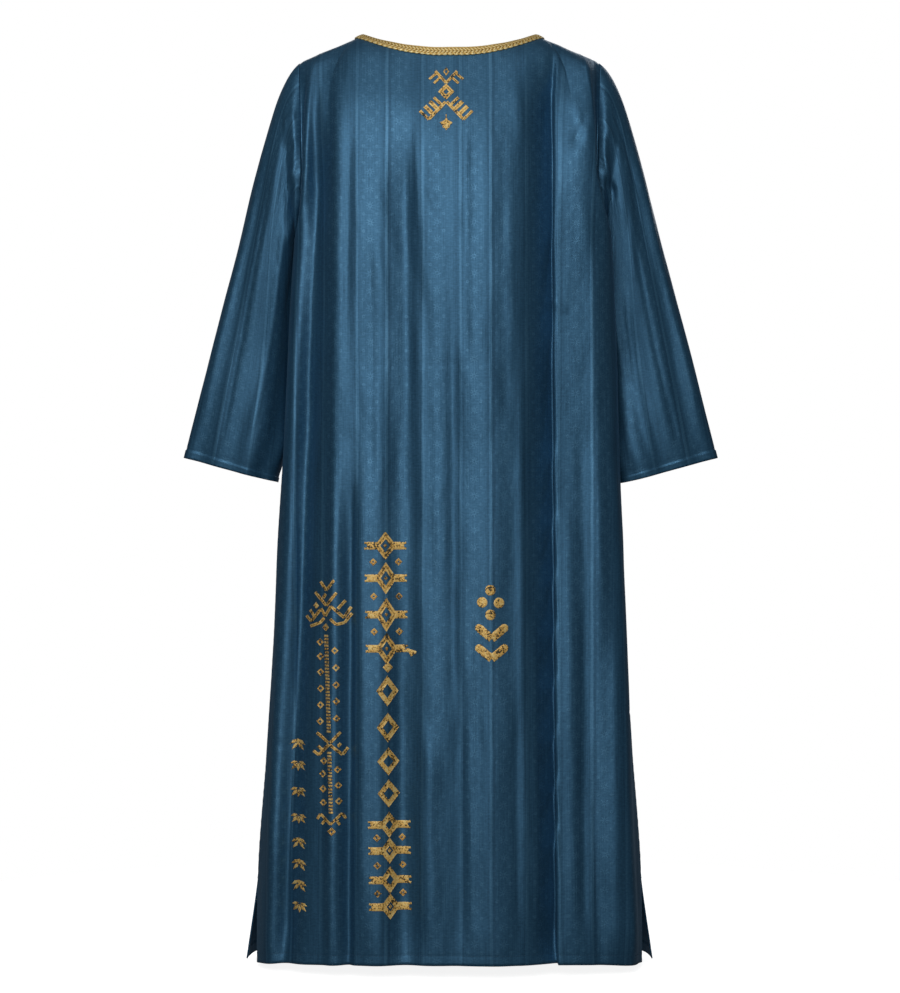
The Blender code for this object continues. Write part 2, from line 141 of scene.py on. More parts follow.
cut = {
    "neckHalfWidth": 124.5,
    "neckRise": 4.0,
    "neckDepth": {"back": 66.0, "front": 84.0},
    "neckDrop": {"back": 28.0, "front": 108.0},
    "neckCurve": {"back": 1.5, "front": 1.8},
    "neckSlope": {"back": 62.0, "front": 55.0},  # degrees below level at which the cloth leaves the neck
    "neckSlopeCurve": 1.5,
    "neckShare": {"back": 0.65, "front": 0.6875},  # of half a panel's columns
    "shoulderHalfWidth": 216.0,
    "shoulderDrop": 35.5,
    "cornerTurn": 40.0,
    "cornerReach": 0.2,
    "topPull": 0.33,
    "footPull": 0.42,
    "footLean": 2.0,
    "yokeDrop": 200.0,
    "underarmDrop": 292.0,
    "slitTopDrop": 1208.0,
    "slitSwing": {"back": 12.0, "front": 6.0},
    "hemMiddleDrop": {"back": 1314.0, "front": 1318.0},
    "hemCornerDrop": {"back": 1331.0, "front": 1329.0},
    "hemTurn": 14.0,
    "armholePull": 6,
}

# Level sections: drop, armhole depth, how steep the side is, and then for the back and for the front
# the half width, the depth and how flat the middle is
levels = (
    (200, 52, 0.78, (222, 112, 0.70), (222, 113, 0.62)),
    (222, 47.5, 0.78, (221.5, 113.5, 0.70), (221.5, 116, 0.62)),
    (244, 40.5, 0.77, (221, 114.5, 0.70), (221, 118.5, 0.62)),
    (262, 32, 0.76, (220.5, 115.5, 0.70), (220.5, 120, 0.62)),
    (276, 22.5, 0.75, (220, 116, 0.70), (220, 120.5, 0.62)),
    (286, 11.5, 0.74, (220, 116.5, 0.70), (220, 121, 0.62)),
    (292, 0, 0.73, (220, 117, 0.70), (220, 121, 0.62)),
    (340, 0, 0.70, (223.5, 117.5, 0.70), (223.5, 120.5, 0.62)),
    (420, 0, 0.66, (229, 117, 0.70), (229, 118.5, 0.64)),
    (580, 0, 0.62, (236.5, 117, 0.70), (236.5, 118.5, 0.66)),
    (782, 0, 0.62, (247, 124, 0.70), (247, 125, 0.67)),
    (1014, 0, 0.62, (262.5, 136, 0.69), (262.5, 138, 0.67)),
    (1208, 0, 0.62, (276.5, 146, 0.68), (276.5, 150, 0.67)),
    (1330, 0, 0.62, (277, 151, 0.68), (294, 157, 0.67)),
)
sideLevels = {side: [row[:3] + row[k] for row in levels] for side, k in (("back", 3), ("front", 4))}
facings = {"back": -1.0, "front": 1.0}

mesh = {
    "halfColumns": {"back": 100, "front": 64},
    "yokeRows": 36,
    "armholeRows": 16,
    "bodyRows": 150,
    "slitRows": 18,
    "hemSteps": (18.0, 15.5, 14.0, 12.5, 9.0, 4.5, 0.0),  # above the hem's edge
}

drape = {
    "foldFade": 140.0,
    "straightOut": 1.8,  # folds stand out from the body more than sideways
    "lapOver": 7.0,  # how far a lapped edge stands over its valley
    "lapEase": 14.0,
    "lapBend": 1.6,
    "yokeEase": (90, 420, 60, 110),  # drops between which the shoulder bend is eased, and their fades
    "yokeEdge": 30.0,
    "yokeRounds": 60,
    "topReach": 55.0,
    "seamReach": 26.0,
    "creaseReach": 9.0,
    "creaseEnds": 0.25,  # share of a crease over which it fades in or out
    "seamPress": 1.3,  # how deep a pressed seam sinks
    "seamWidth": 3.2,
    "seamFade": 12.0,  # over which it ends at the top of the slit
    "pucker": 0.45,
    "puckerPitch": 11.0,
    "puckerDrift": (3.0, 37.0),  # how far the ripples crowd together, and how often down the edge
    "puckerReach": 13.0,
    "puckerEase": 3.0,
    "unevenness": 0.5,
    "unevenReach": 40.0,
    "unevenWaves": 26,
    "unevenPitch": (28.0, 120.0),
    "unevenTall": (2.0, 6.0),  # in pitches
    "unevenCalm": 3.0,  # what the sum of the waves is divided by
    "hemPress": 0.22,
    "hemPressWidth": 1.8,
    "seeds": {"back": 11, "front": 12, "left": 13, "right": 14},
}

# Hanging folds: x at the top and foot, drop of the top and foot, half width on the left and right,
# height at the top and foot. A trough is negative.
folds = {
    "back": (
        (-199, -252, -60, 1400, 17, 15, 12, 11), (-186, -240, 100, 1400, 13, 19, -20, -22),
        (-158, -166, 20, 1400, 8, 22, 6, 8), (-137, -141, 600, 1400, 12, 5, -6, -13),
        (-104, -98, 420, 1400, 24, 24, 2, 9), (-66, -62, 110, 1400, 27, 30, -10, -12),
        (-38, -36, 170, 1400, 12, 18, 2, 3), (6, 8, 220, 1400, 16, 16, -2, -4),
        (52, 58, 60, 1400, 36, 30, 5, 8), (180, 214, 500, 1400, 8, 9, -1, -4),
        (200, 253, -60, 1400, 42, 14, 26, 23), (208, 261, -60, 1400, 15, 8, 9, 8),
    ),
    "front": (
        (-190, -214, 300, 1400, 26, 26, -6, -14), (-128, -150, 260, 1400, 27, 27, 5, 14),
        (-92, -98, 330, 1400, 16, 28, -9, -19), (-34, -42, 380, 1400, 28, 28, 4, 12),
        (30, 18, 300, 1400, 25, 25, -5, -13), (84, 82, 260, 1400, 28, 28, 7, 15),
        (120, 142, 420, 1400, 24, 14, -6, -17), (188, 206, 330, 1400, 24, 24, 5, 12),
    ),
}

# The deepest folds lap over: x of the sharp edge at the top and foot, drop of the top and foot, reach
# of the slope beside it (to the left if negative), width of the edge, depth at the top and foot
laps = {
    "back": ((149, 153, 0, 1400, -54, 3.6, 31, 33),),
    "front": ((-96, -104, 300, 1400, 44, 6.0, 9, 15),),
}

# Creases: x and drop where each starts and ends, half width, height
creases = {
    "back": (
        (-207, 62, -214, 160, 5, -2.2), (-199, 55, -206, 250, 7, 2.4), (-189, 75, -196, 235, 6, -2),
        (-180, 60, -176, 170, 7, 1.4), (-212, 290, -224, 640, 7, 2.2), (-198, 240, -196, 560, 10, 3.4),
        (-141, 120, -146, 470, 6, -1.6), (-128, 90, -131, 520, 8, 1.8), (-112, 240, -108, 700, 7, -1.6),
        (-64, 110, -58, 620, 8, -2), (-46, 120, -44, 300, 5, 1.4), (-34, 320, -24, 900, 9, -2),
        (4, 330, 6, 1010, 7, -1.8), (22, 90, 24, 500, 7, -1.6), (84, 110, 88, 640, 8, 1.2),
        (100, 420, 104, 1320, 8, 2.4), (166, 84, 196, 172, 8, 1.6), (172, 172, 190, 118, 5, -1.8),
        (200, 66, 206, 240, 6, -1.2), (196, 260, 212, 900, 8, 2.6), (214, 320, 232, 700, 6, -2),
        (-238, 560, -250, 1300, 8, 2.6), (-222, 640, -226, 1310, 8, 3.2), (-160, 560, -164, 1320, 9, 4),
        (-122, 600, -120, 1320, 9, 3.6), (-70, 820, -66, 1320, 10, -3.6), (-30, 960, -26, 1320, 12, 3.4),
        (14, 900, 18, 1320, 10, -3.2), (38, 700, 42, 1320, 9, -2.6), (96, 900, 98, 1320, 8, -2.8),
        (118, 780, 122, 1320, 8, 3), (168, 640, 176, 1320, 8, 3), (188, 760, 190, 1320, 7, -3.2),
        (226, 820, 232, 1320, 9, 3.4), (-162, 478, 73, 476, 2.2, -0.6), (217, 958, 272, 976, 2.6, -0.9),
        (-245, 1012, -214, 1016, 2.4, -0.8), (160, 788, 178, 792, 2.4, -0.9),
        (-210, 508, -196, 512, 2.4, 0.8), (150, 380, 168, 402, 4, 1.2), (-30, 225, -18, 260, 4, 0.9),
        (-212, 45, -124, 9, 1.8, -0.7), (124, 9, 212, 45, 1.8, -0.7),
    ),
    "front": (
        (-204, 60, -212, 190, 6, -2.4), (-192, 70, -200, 260, 7, 2.6), (-168, 80, -186, 210, 7, -2),
        (-150, 150, -140, 420, 9, 2), (-118, 190, -122, 620, 8, -2.4), (-70, 180, -60, 560, 10, 2.6),
        (-20, 190, -14, 700, 9, -2.4), (12, 160, 20, 480, 8, 2), (52, 200, 50, 820, 9, -2.6),
        (108, 160, 104, 520, 9, 2.2), (140, 170, 150, 460, 8, -2), (172, 90, 198, 200, 8, 2.6),
        (204, 70, 210, 240, 6, -2), (-232, 420, -248, 1300, 8, 3), (-176, 560, -184, 1320, 10, 4),
        (-136, 760, -132, 1320, 9, -3.4), (-66, 640, -70, 1320, 9, 3.8), (-14, 820, -10, 1320, 11, -3.6),
        (44, 720, 48, 1320, 9, 3.4), (112, 640, 116, 1320, 9, 3.6), (168, 600, 176, 1320, 9, -3.4),
        (232, 520, 246, 1300, 8, 3), (-120, 640, 40, 646, 2.4, -0.7), (90, 900, 190, 912, 2.4, -0.8),
        (-190, 1030, -150, 1022, 2.6, -0.9),
    ),
}


def halfSection(side, drop, shares):
    # x and outward places on half a level section, from the middle to the side seam or armhole
    armhole, steep, halfWidth, depth, flat = readTable(sideLevels[side], drop)[0]
    corner = cut["hemCornerDrop"][side]
    seam = cut["slitSwing"][side] * smoothStep((drop - cut["slitTopDrop"]) / (corner - cut["slitTopDrop"]))
    top, flank = (flat * halfWidth, depth), (halfWidth, mix(seam, depth, steep))
    curve = bezier(*np.array(((0.0, depth), top, flank, (halfWidth, seam))))
    run = runOf(curve)
    whole = np.interp(-armhole, -curve[:, 1], run / run[-1]) if armhole > 0 else 1.0
    return evenly(curve, shares - (1.0 - whole) * shares ** cut["armholePull"])


def topEdge(side, share):
    # a point on the neck and shoulder line of one half, and the way that the cloth leaves it
    neckShare = cut["neckShare"][side]
    neckWide, neckRise = cut["neckHalfWidth"], cut["neckRise"]
    fall = cut["shoulderDrop"] + neckRise
    shoulderWide = cut["shoulderHalfWidth"] - neckWide
    shoulderWay = unit(np.array([shoulderWide, 0.0, -fall]))
    if share >= neckShare:
        along = (share - neckShare) / (1.0 - neckShare)
        point = np.array([neckWide + along * shoulderWide, 0.0, neckRise - fall * along])
        down = 0.0
    else:
        angle = (1.0 - share / neckShare) * math.pi / 2
        rise = math.sin(angle)
        depth = cut["neckDepth"][side] * rise
        sunk = cut["neckDrop"][side] * rise ** cut["neckCurve"][side]
        point = np.array([neckWide * math.cos(angle), depth, neckRise - sunk])
        down = math.radians(cut["neckSlope"][side]) * rise ** cut["neckSlopeCurve"]
    aside = math.radians(cut["cornerTurn"]) * bell(share - neckShare, cut["cornerReach"])
    leave = math.sin(aside) * shoulderWay
    leave = leave + math.cos(aside) * np.array([0.0, math.cos(down), -math.sin(down)])
    return point, unit(leave)


def yokeColumn(side, share, foot):
    top, leave = topEdge(side, share)
    tall = np.linalg.norm(foot - top)
    footHandle = foot + np.array([0.0, -cut["footLean"], cut["footPull"] * tall])
    curve = bezier(top, top + cut["topPull"] * tall * leave, footHandle, foot)
    return evenly(curve, np.linspace(0.0, 1.0, mesh["yokeRows"] + 1))


def basePanel(side):
    # the panel before its folds, as rows of points from -X to +X
    half = mesh["halfColumns"][side]
    shares = np.arange(half + 1) / half
    foot = halfSection(side, cut["yokeDrop"], shares)
    feet = np.column_stack([foot, np.full(half + 1, -cut["yokeDrop"])])
    yoke = np.stack([yokeColumn(side, share, feet[i]) for i, share in enumerate(shares)], axis=1)
    rows = list(yoke)
    upper = np.linspace(cut["yokeDrop"], cut["underarmDrop"], mesh["armholeRows"] + 1)[1:]
    body = np.linspace(cut["underarmDrop"], cut["slitTopDrop"], mesh["bodyRows"] + 1)[1:]
    for drop in np.concatenate([upper, body]):
        rows.append(np.column_stack([halfSection(side, drop, shares), np.full(half + 1, -drop)]))
    middle, corner = cut["hemMiddleDrop"][side], cut["hemCornerDrop"][side]
    above = np.linspace(1.0, 0.0, mesh["slitRows"] + 1)[1:-1]
    lowered = [(share, mesh["hemSteps"][0]) for share in above] + [(0.0, step) for step in mesh["hemSteps"]]
    weight = shares**3
    for share, step in lowered:
        ends = [mix(hem - step, cut["slitTopDrop"], share) for hem in (middle, corner)]
        section = mix(*[halfSection(side, drop, shares) for drop in ends], weight[:, None])
        rows.append(np.column_stack([section, -mix(*ends, weight)]))
    points = np.stack(rows)
    points = np.concatenate([points[:, :0:-1] * (-1.0, 1.0, 1.0), points], axis=1)
    return points * (1.0, facings[side], 1.0)


def edgeDistance(points):
    # how far each point is from its row's seam or armhole edge, near enough
    edge = points[:, -1:, :]
    return np.abs(edge[..., 0]) - np.abs(points[..., 0]) + np.abs(points[..., 1] - edge[..., 1])


def relax(points, near, rounds):
    # evens out the columns of a grid where near is above 0
    for _ in range(rounds):
        calm = points.copy()
        calm[1:-1] = (points[:-2] + 2 * points[1:-1] + points[2:]) / 4
        points = points + (calm - points) * near
    return points


def relaxYoke(points):
    # softens the bend where the shoulder part meets the body, away from the armhole
    near = within(-points[..., 2], *drape["yokeEase"]) * smoothStep(edgeDistance(points) / drape["yokeEdge"])
    return relax(points, near[..., None], drape["yokeRounds"])


def grainOf(points):
    # where each point lay on the flat cloth: across from the centre, and down
    middle = points.shape[1] // 2
    run = runAlong(points, 1)
    drops = -points[..., 2]
    blend = smoothStep((drops[:, middle] - 60.0) / 220.0)[:, None]
    across = mix(points[..., 0], run - run[:, middle : middle + 1], blend)
    yoke = mesh["yokeRows"]
    falls = np.linalg.norm(np.diff(points[: yoke + 1], axis=0), axis=2)
    down = drops.copy()
    down[:yoke] = cut["yokeDrop"] - np.cumsum(falls[::-1], axis=0)[::-1]
    return across, down


def creaseHeights(across, down, rows):
    out = np.zeros_like(across)
    for startX, startDrop, endX, endDrop, wide, high in rows:
        runX, runDown = endX - startX, endDrop - startDrop
        length = math.hypot(runX, runDown)
        along = ((across - startX) * runX + (down - startDrop) * runDown) / length**2
        aside = ((across - startX) * runDown - (down - startDrop) * runX) / length
        out += high * within(along, 0.0, 1.0, drape["creaseEnds"]) * bell(aside, wide)
    return out


def hangingLine(x, drop, xTop, xFoot, dropTop, dropFoot):
    # share of the way down a fold, how far right of it, and how strong it is there
    down = np.clip((drop - dropTop) / (dropFoot - dropTop), 0.0, 1.0)
    return down, x - mix(xTop, xFoot, down), within(drop, dropTop, dropFoot, drape["foldFade"])


def foldHeights(side, x, drop):
    out = np.zeros_like(x)
    for *line, left, right, highTop, highFoot in folds[side]:
        down, aside, fade = hangingLine(x, drop, *line)
        out += mix(highTop, highFoot, down) * fade * bell(aside, np.where(aside < 0, left, right))
    return out


def lapMoves(side, x, drop):
    # how deep each valley is, and how far its edge is drawn sideways over it
    out, over = np.zeros_like(x), np.zeros_like(x)
    for *line, reach, edge, deepTop, deepFoot in laps[side]:
        down, aside, fade = hangingLine(x, drop, *line)
        aside = aside * np.sign(reach)
        slope = np.clip(1.0 - aside / abs(reach), 0.0, 1.0) ** drape["lapBend"]
        wall = 1.0 - smoothStep(-aside / edge)
        out -= mix(deepTop, deepFoot, down) * fade * np.where(aside > 0, slope, wall)
        beyond = bell(np.maximum(-aside - edge, 0.0), drape["lapEase"])
        over += np.sign(reach) * drape["lapOver"] * fade * (1.0 - wall) * beyond * (aside < 0)
    return out, over


def unevenHeights(across, down, seed):
    # slow, uneven waves that no smooth table gives
    draw = random.Random(seed)
    out = np.zeros_like(across)
    shortest, longest = drape["unevenPitch"]
    for _ in range(drape["unevenWaves"]):
        wave = draw.uniform(shortest, longest)
        tall = wave * draw.uniform(*drape["unevenTall"])
        phase = draw.uniform(0.0, 2 * math.pi)
        lean = draw.choice((-1.0, 1.0))
        out += wave / longest * np.sin(2 * math.pi * (across / wave + lean * down / tall) + phase)
    return out / drape["unevenCalm"]


def puckerReach(edge):
    # height of the ripples that a seam draws up, this far from it
    return drape["pucker"] * np.exp(-edge / drape["puckerReach"]) * smoothStep(edge / drape["puckerEase"])


def outwardOf(points, facing):
    across = np.gradient(points, axis=1)
    down = np.gradient(points, axis=0)
    return unit(np.cross(down, across)) * -facing


def drapedPanel(side):
    facing = facings[side]
    base = relaxYoke(basePanel(side))
    grain = grainOf(base)
    x, drop = base[..., 0], -base[..., 2]
    edge = edgeDistance(base)
    across = np.gradient(base, axis=1)
    level = unit(np.stack([across[..., 1], -across[..., 0], np.zeros_like(x)], axis=-1)) * -facing
    level = unit(level + np.array([0.0, drape["straightOut"] * facing, 0.0]))
    free = smoothStep(runAlong(base, 0) / drape["topReach"])
    sunk, over = lapMoves(side, x, drop)
    lift = (foldHeights(side, x, drop) + sunk) * free * smoothStep(edge / drape["seamReach"])
    points = base + level * lift[..., None] + (over * free)[..., None] * (1.0, 0.0, 0.0)
    move = creaseHeights(x, drop, creases[side]) * free * smoothStep(edge / drape["creaseReach"])
    uneven = unevenHeights(*grain, drape["seeds"][side])
    move += drape["unevenness"] * uneven * smoothStep(edge / drape["unevenReach"])
    drift, driftPitch = drape["puckerDrift"]
    ripple = np.sin(2 * math.pi * drop / drape["puckerPitch"] + drift * np.sin(drop / driftPitch))
    move += ripple * puckerReach(edge)
    onSeam = smoothStep((cut["slitTopDrop"] + drape["seamFade"] / 2 - drop) / drape["seamFade"])
    move -= drape["seamPress"] * onSeam * bell(edge, drape["seamWidth"])
    aboveTurn = base[..., 2] - base[-1:, :, 2] - cut["hemTurn"]
    move -= drape["hemPress"] * bell(aboveTurn, drape["hemPressWidth"])
    points = points + outwardOf(points, facing) * move[..., None]
    return {"points": points, "grain": grain, "edge": edge, "facing": facing}


# The sleeves, as rings from the armhole to the cuff

sleeve = {
    "roundness": 2.25,
    "swing": {"left": 0.0, "right": 4.0},
    "rows": 132,
    "capRing": (216, 35.5, 220, 292, 57, 0),
    "cuffTurn": 14.0,
    "cuffRows": (1.3, 1.12, 1.0, 0.88, 0.6, 0.3),  # above the edge, in hem turns
    "tuckIn": 7.0,  # the inner edge lies against the body's side, a little ahead of it
    "tuckAhead": 44.0,
    "tuckDrops": (290.0, 640.0, 30.0, 60.0),  # drops between which it does, and their fades
    "aheadFade": (0.55, 470.0, 170.0),  # share of that lead that is lost, and where
    "headReach": 0.24,
    "headEase": 0.2,
    "headRounds": 30,
    "creaseScale": 470.0,  # round an average ring
    "length": 600.0,
    "foldWay": (0.55, 1.0, 0.35),  # folds stand back more than sideways
    "foldEnds": (0.3, 0.1),  # share of a fold over which it fades in and out
    "foldStart": 0.06,  # share down at which folds and creases have their full height
    "unevenStart": 0.08,  # and the unevenness its own
    "seamFree": 0.05,  # share round beside the seam that is kept calm
    "puckers": 46,
    "puckerDrift": (2.0, 31),
}

# Rings: x and drop of the outer and the inner end, half depth, how far forward
sleeveRings = (
    (231, 54, 224, 304, 60, 0), (247.5, 90, 227.5, 319, 62.5, 1), (265, 147, 230, 340, 64, 4),
    (281, 205, 232, 368, 63, 7), (302.5, 291, 234.5, 418, 60, 11), (326, 379, 237, 480, 55, 15),
    (349.5, 466, 240, 545, 49, 19), (370.5, 550, 246, 606, 42, 22), (384, 605.5, 252, 640, 37, 24),
)

# Sleeve folds: share round at the top and foot (0 outer edge, 0.25 back, 0.5 inner edge), share down
# where each starts and ends, half width as a share round, height
sleeveFolds = {
    "left": (
        (0.33, 0.31, 0.06, 1.3, 0.065, 14), (0.42, 0.42, 0.06, 1.3, 0.045, 12),
        (0.12, 0.11, 0.15, 1.3, 0.060, -10), (0.78, 0.74, 0.12, 1.3, 0.050, 6),
        (0.66, 0.64, 0.25, 1.3, 0.040, -5), (0.88, 0.86, 0.20, 1.3, 0.040, -4),
    ),
    "right": (
        (0.37, 0.37, 0.06, 1.3, 0.065, 22), (0.44, 0.44, 0.06, 1.3, 0.040, 28),
        (0.13, 0.12, 0.15, 1.3, 0.065, -11), (0.76, 0.75, 0.12, 1.3, 0.050, 6),
        (0.65, 0.63, 0.25, 1.3, 0.040, -5), (0.87, 0.88, 0.20, 1.3, 0.040, -4),
    ),
}

# Sleeve creases: share round and share down where each starts and ends, half width, height
sleeveCreases = {
    "left": (
        (0.30, 0.02, 0.26, 0.26, 6, 2.6), (0.24, 0.03, 0.19, 0.22, 5, -2.4),
        (0.17, 0.02, 0.13, 0.20, 6, 2.2), (0.36, 0.10, 0.30, 0.42, 7, 3), (0.41, 0.16, 0.35, 0.60, 7, -3),
        (0.29, 0.30, 0.28, 0.95, 6, 2.2), (0.16, 0.34, 0.18, 0.98, 6, -2),
        (0.06, 0.20, 0.08, 0.90, 8, 2.4), (0.44, 0.30, 0.42, 0.98, 7, 2.6),
        (0.70, 0.04, 0.76, 0.30, 7, 2.4), (0.60, 0.12, 0.68, 0.50, 7, -2.6),
        (0.82, 0.30, 0.80, 0.96, 7, -2.4), (0.93, 0.24, 0.92, 0.92, 8, 2.2),
        (0.56, 0.40, 0.58, 0.98, 7, 2.4),
    ),
    "right": (
        (0.27, 0.02, 0.31, 0.24, 7, 3.4), (0.33, 0.04, 0.24, 0.30, 6, -3.2),
        (0.20, 0.03, 0.15, 0.30, 6, 2.4), (0.12, 0.10, 0.11, 0.46, 6, -2),
        (0.37, 0.20, 0.33, 0.74, 7, 3.2), (0.42, 0.14, 0.40, 0.66, 7, -3),
        (0.28, 0.50, 0.30, 0.97, 7, 2.4), (0.20, 0.44, 0.19, 0.96, 6, -2.2),
        (0.07, 0.26, 0.08, 0.94, 8, 2.6), (0.72, 0.05, 0.78, 0.34, 7, 2.6),
        (0.62, 0.16, 0.66, 0.58, 7, -2.8), (0.84, 0.26, 0.80, 0.90, 7, -2.4),
        (0.92, 0.30, 0.93, 0.96, 8, 2.4), (0.57, 0.36, 0.56, 0.95, 7, 2.2),
    ),
}


def armholeLine(back, front):
    # down the back edge of the armhole and up its front edge, with the first point again at the end
    rows = mesh["yokeRows"] + mesh["armholeRows"] + 1
    line = np.concatenate([back["points"][:rows, -1], front["points"][: rows - 1, -1][::-1]])
    line[[0, -1], 1] = 0.0
    line[-1] = line[0]
    return line


def sleeveRing(values, shares):
    outerX, outerDrop, innerX, innerDrop, halfDepth, forward = values
    low, high, easeLow, easeHigh = sleeve["tuckDrops"]
    lost, fadeDrop, fade = sleeve["aheadFade"]
    tuck = within(innerDrop, low, high, easeLow, easeHigh)
    ahead = smoothStep((innerDrop - low) / easeLow) * (1.0 - lost * smoothStep((innerDrop - fadeDrop) / fade))
    outer = np.array([outerX, forward, -outerDrop])
    inner = np.array([innerX - sleeve["tuckIn"] * tuck, forward + sleeve["tuckAhead"] * ahead, -innerDrop])
    angles = np.linspace(0.0, 2 * math.pi, 241)
    power = 2.0 / sleeve["roundness"]
    along, aside = [np.sign(wave) * np.abs(wave) ** power for wave in (np.cos(angles), np.sin(angles))]
    line = (outer + inner) / 2 + np.outer(along, (outer - inner) / 2)
    return evenly(line + np.outer(aside, [0.0, -halfDepth, 0.0]), shares)


def sleeveForm(side, start):
    # points and share down of each row, from the armhole line through smooth rings to the cuff
    shares = runOf(start) / runOf(start)[-1]
    table = np.array((sleeve["capRing"],) + sleeveRings, dtype=float)
    places = np.arange(len(table), dtype=float)
    last = places[-1]
    hemShare = sleeve["cuffTurn"] / np.linalg.norm(table[-1, :4] - table[-2, :4])
    fine = np.linspace(0.0, last, sleeve["rows"] + 1)[1:]
    cuff = last - hemShare * np.array(sleeve["cuffRows"])
    fine = np.sort(np.concatenate([fine[fine < cuff[0] - 0.02], cuff, [last]]))
    rows = readTable(np.column_stack([places, table]), fine)
    downs = fine / last
    rows[:, 0] += sleeve["swing"][side] * downs
    rows[:, 2] += sleeve["swing"][side] * downs**3
    points = np.stack([start] + [sleeveRing(row, shares) for row in rows])
    downs = np.concatenate([[0.0], downs])
    near = smoothStep((sleeve["headReach"] - downs) / sleeve["headEase"])
    near[0] = 0.0
    return relax(points, near[:, None, None], sleeve["headRounds"]), shares, downs


def drapedSleeve(side, start):
    points, shares, downs = sleeveForm(side, start)
    grainDown, grainAcross = runAlong(points, 0), runAlong(points, 1)
    under = mesh["yokeRows"] + mesh["armholeRows"]  # the column of the sleeve's own seam, under the arm
    grainAcross[:, under + 1 :] -= grainAcross[:, -1:]
    around = np.broadcast_to(shares, points.shape[:2])
    down = np.broadcast_to(downs[:, None], points.shape[:2])
    lift = np.zeros(points.shape[:2])
    for roundTop, roundFoot, startDown, endDown, wide, high in sleeveFolds[side]:
        along = (down - startDown) / (endDown - startDown)
        aside = around - mix(roundTop, roundFoot, along)
        lift += high * within(along, 0.0, 1.0, *sleeve["foldEnds"]) * bell(aside, wide)
    fromHead = smoothStep(down / sleeve["foldStart"])
    scale = np.array([sleeve["creaseScale"], sleeve["length"]] * 2 + [1.0, 1.0])
    scaled = np.array(sleeveCreases[side]) * scale
    move = creaseHeights(around * scale[0], down * scale[1], scaled) * fromHead
    uneven = unevenHeights(grainAcross, grainDown, drape["seeds"][side])
    offSeam = smoothStep(np.abs(around - 0.5) / sleeve["seamFree"])
    move += drape["unevenness"] * uneven * smoothStep(down / sleeve["unevenStart"]) * offSeam
    drift, driftTurns = sleeve["puckerDrift"]
    ripple = np.sin(2 * math.pi * around * sleeve["puckers"] + drift * np.sin(around * driftTurns))
    move += ripple * puckerReach(grainDown)
    move -= drape["hemPress"] * bell(grainDown[-1:] - sleeve["cuffTurn"] - grainDown, drape["hemPressWidth"])
    across = np.roll(points[:, :-1], -1, axis=1) - np.roll(points[:, :-1], 1, axis=1)
    outward = unit(np.cross(across, np.gradient(points[:, :-1], axis=0)))
    outward = np.concatenate([outward, outward[:, :1]], axis=1)
    outward[0] = unit(start - start.mean(axis=0)) * (0.0, 1.0, 1.0)
    points = points + outward * (move[..., None] + sleeve["foldWay"] * (lift * fromHead)[..., None])
    order = np.concatenate([np.arange(under, len(shares) - 1), np.arange(under + 1)])
    grainAcross = grainAcross[:, order]
    grainAcross[:, 0] = 2 * grainAcross[:, 1] - grainAcross[:, 2]
    grainDown = grainDown[:, order] - grainDown[-1:, order] + sleeve["length"]
    return {"points": points[:, order], "outward": outward[:, order], "grain": (grainAcross, grainDown)}


# Materials

def linear(hexColour):
    channels = [int(hexColour[i : i + 2], 16) / 255 for i in (1, 3, 5)]
    return tuple(c / 12.92 if c <= 0.04045 else ((c + 0.055) / 1.055) ** 2.4 for c in channels) + (1.0,)


def addNode(tree, kind, inputs=None, **settings):
    node = tree.nodes.new(kind)
    for name, value in settings.items():
        setattr(node, name, value)
    for name, value in (inputs or {}).items():
        if isinstance(value, bpy.types.NodeSocket):
            tree.links.new(value, node.inputs[name])
        else:
            node.inputs[name].default_value = value
    return node


def calc(tree, operation, first, second=0.0, third=0.0):
    return addNode(tree, "ShaderNodeMath", {0: first, 1: second, 2: third}, operation=operation).outputs[0]


def addWeighted(tree, base, *parts):
    # the base plus each value times its weight, where a value counts from its middle
    for value, middle, weight in parts:
        if middle:
            value = calc(tree, "SUBTRACT", value, middle)
        base = calc(tree, "MULTIPLY_ADD", value, weight, base)
    return base


def addRamp(tree, factor, stops):
    # stops are (place, hex colour or grey)
    node = addNode(tree, "ShaderNodeValToRGB", {"Fac": factor})
    ramp = node.color_ramp
    while len(ramp.elements) < len(stops):
        ramp.elements.new(1.0)
    for element, (place, colour) in zip(ramp.elements, stops):
        element.position = place
        element.color = linear(colour) if isinstance(colour, str) else (colour, colour, colour, 1.0)
    return node.outputs["Color"]


def addNoise(tree, vector, scale, detail, stretch=None):
    if stretch:
        vector = addNode(tree, "ShaderNodeMapping", {"Vector": vector, "Scale": stretch}).outputs[0]
    settings = {"Vector": vector, "Scale": scale, "Detail": detail}
    return addNode(tree, "ShaderNodeTexNoise", settings).outputs["Fac"]


def newMaterial(name, looks):
    material = bpy.data.materials.new(name)
    material.use_nodes = True
    tree = material.node_tree
    principled = tree.nodes["Principled BSDF"]
    for socket, value in looks.items():
        principled.inputs[socket].default_value = value
    return material, tree, principled


def addLooks(tree, principled, colour, height=None, strength=1.0, reach=mm):
    tree.links.new(colour, principled.inputs["Base Color"])
    if height:
        bump = addNode(tree, "ShaderNodeBump", {"Height": height, "Strength": strength, "Distance": reach})
        tree.links.new(bump.outputs[0], principled.inputs["Normal"])


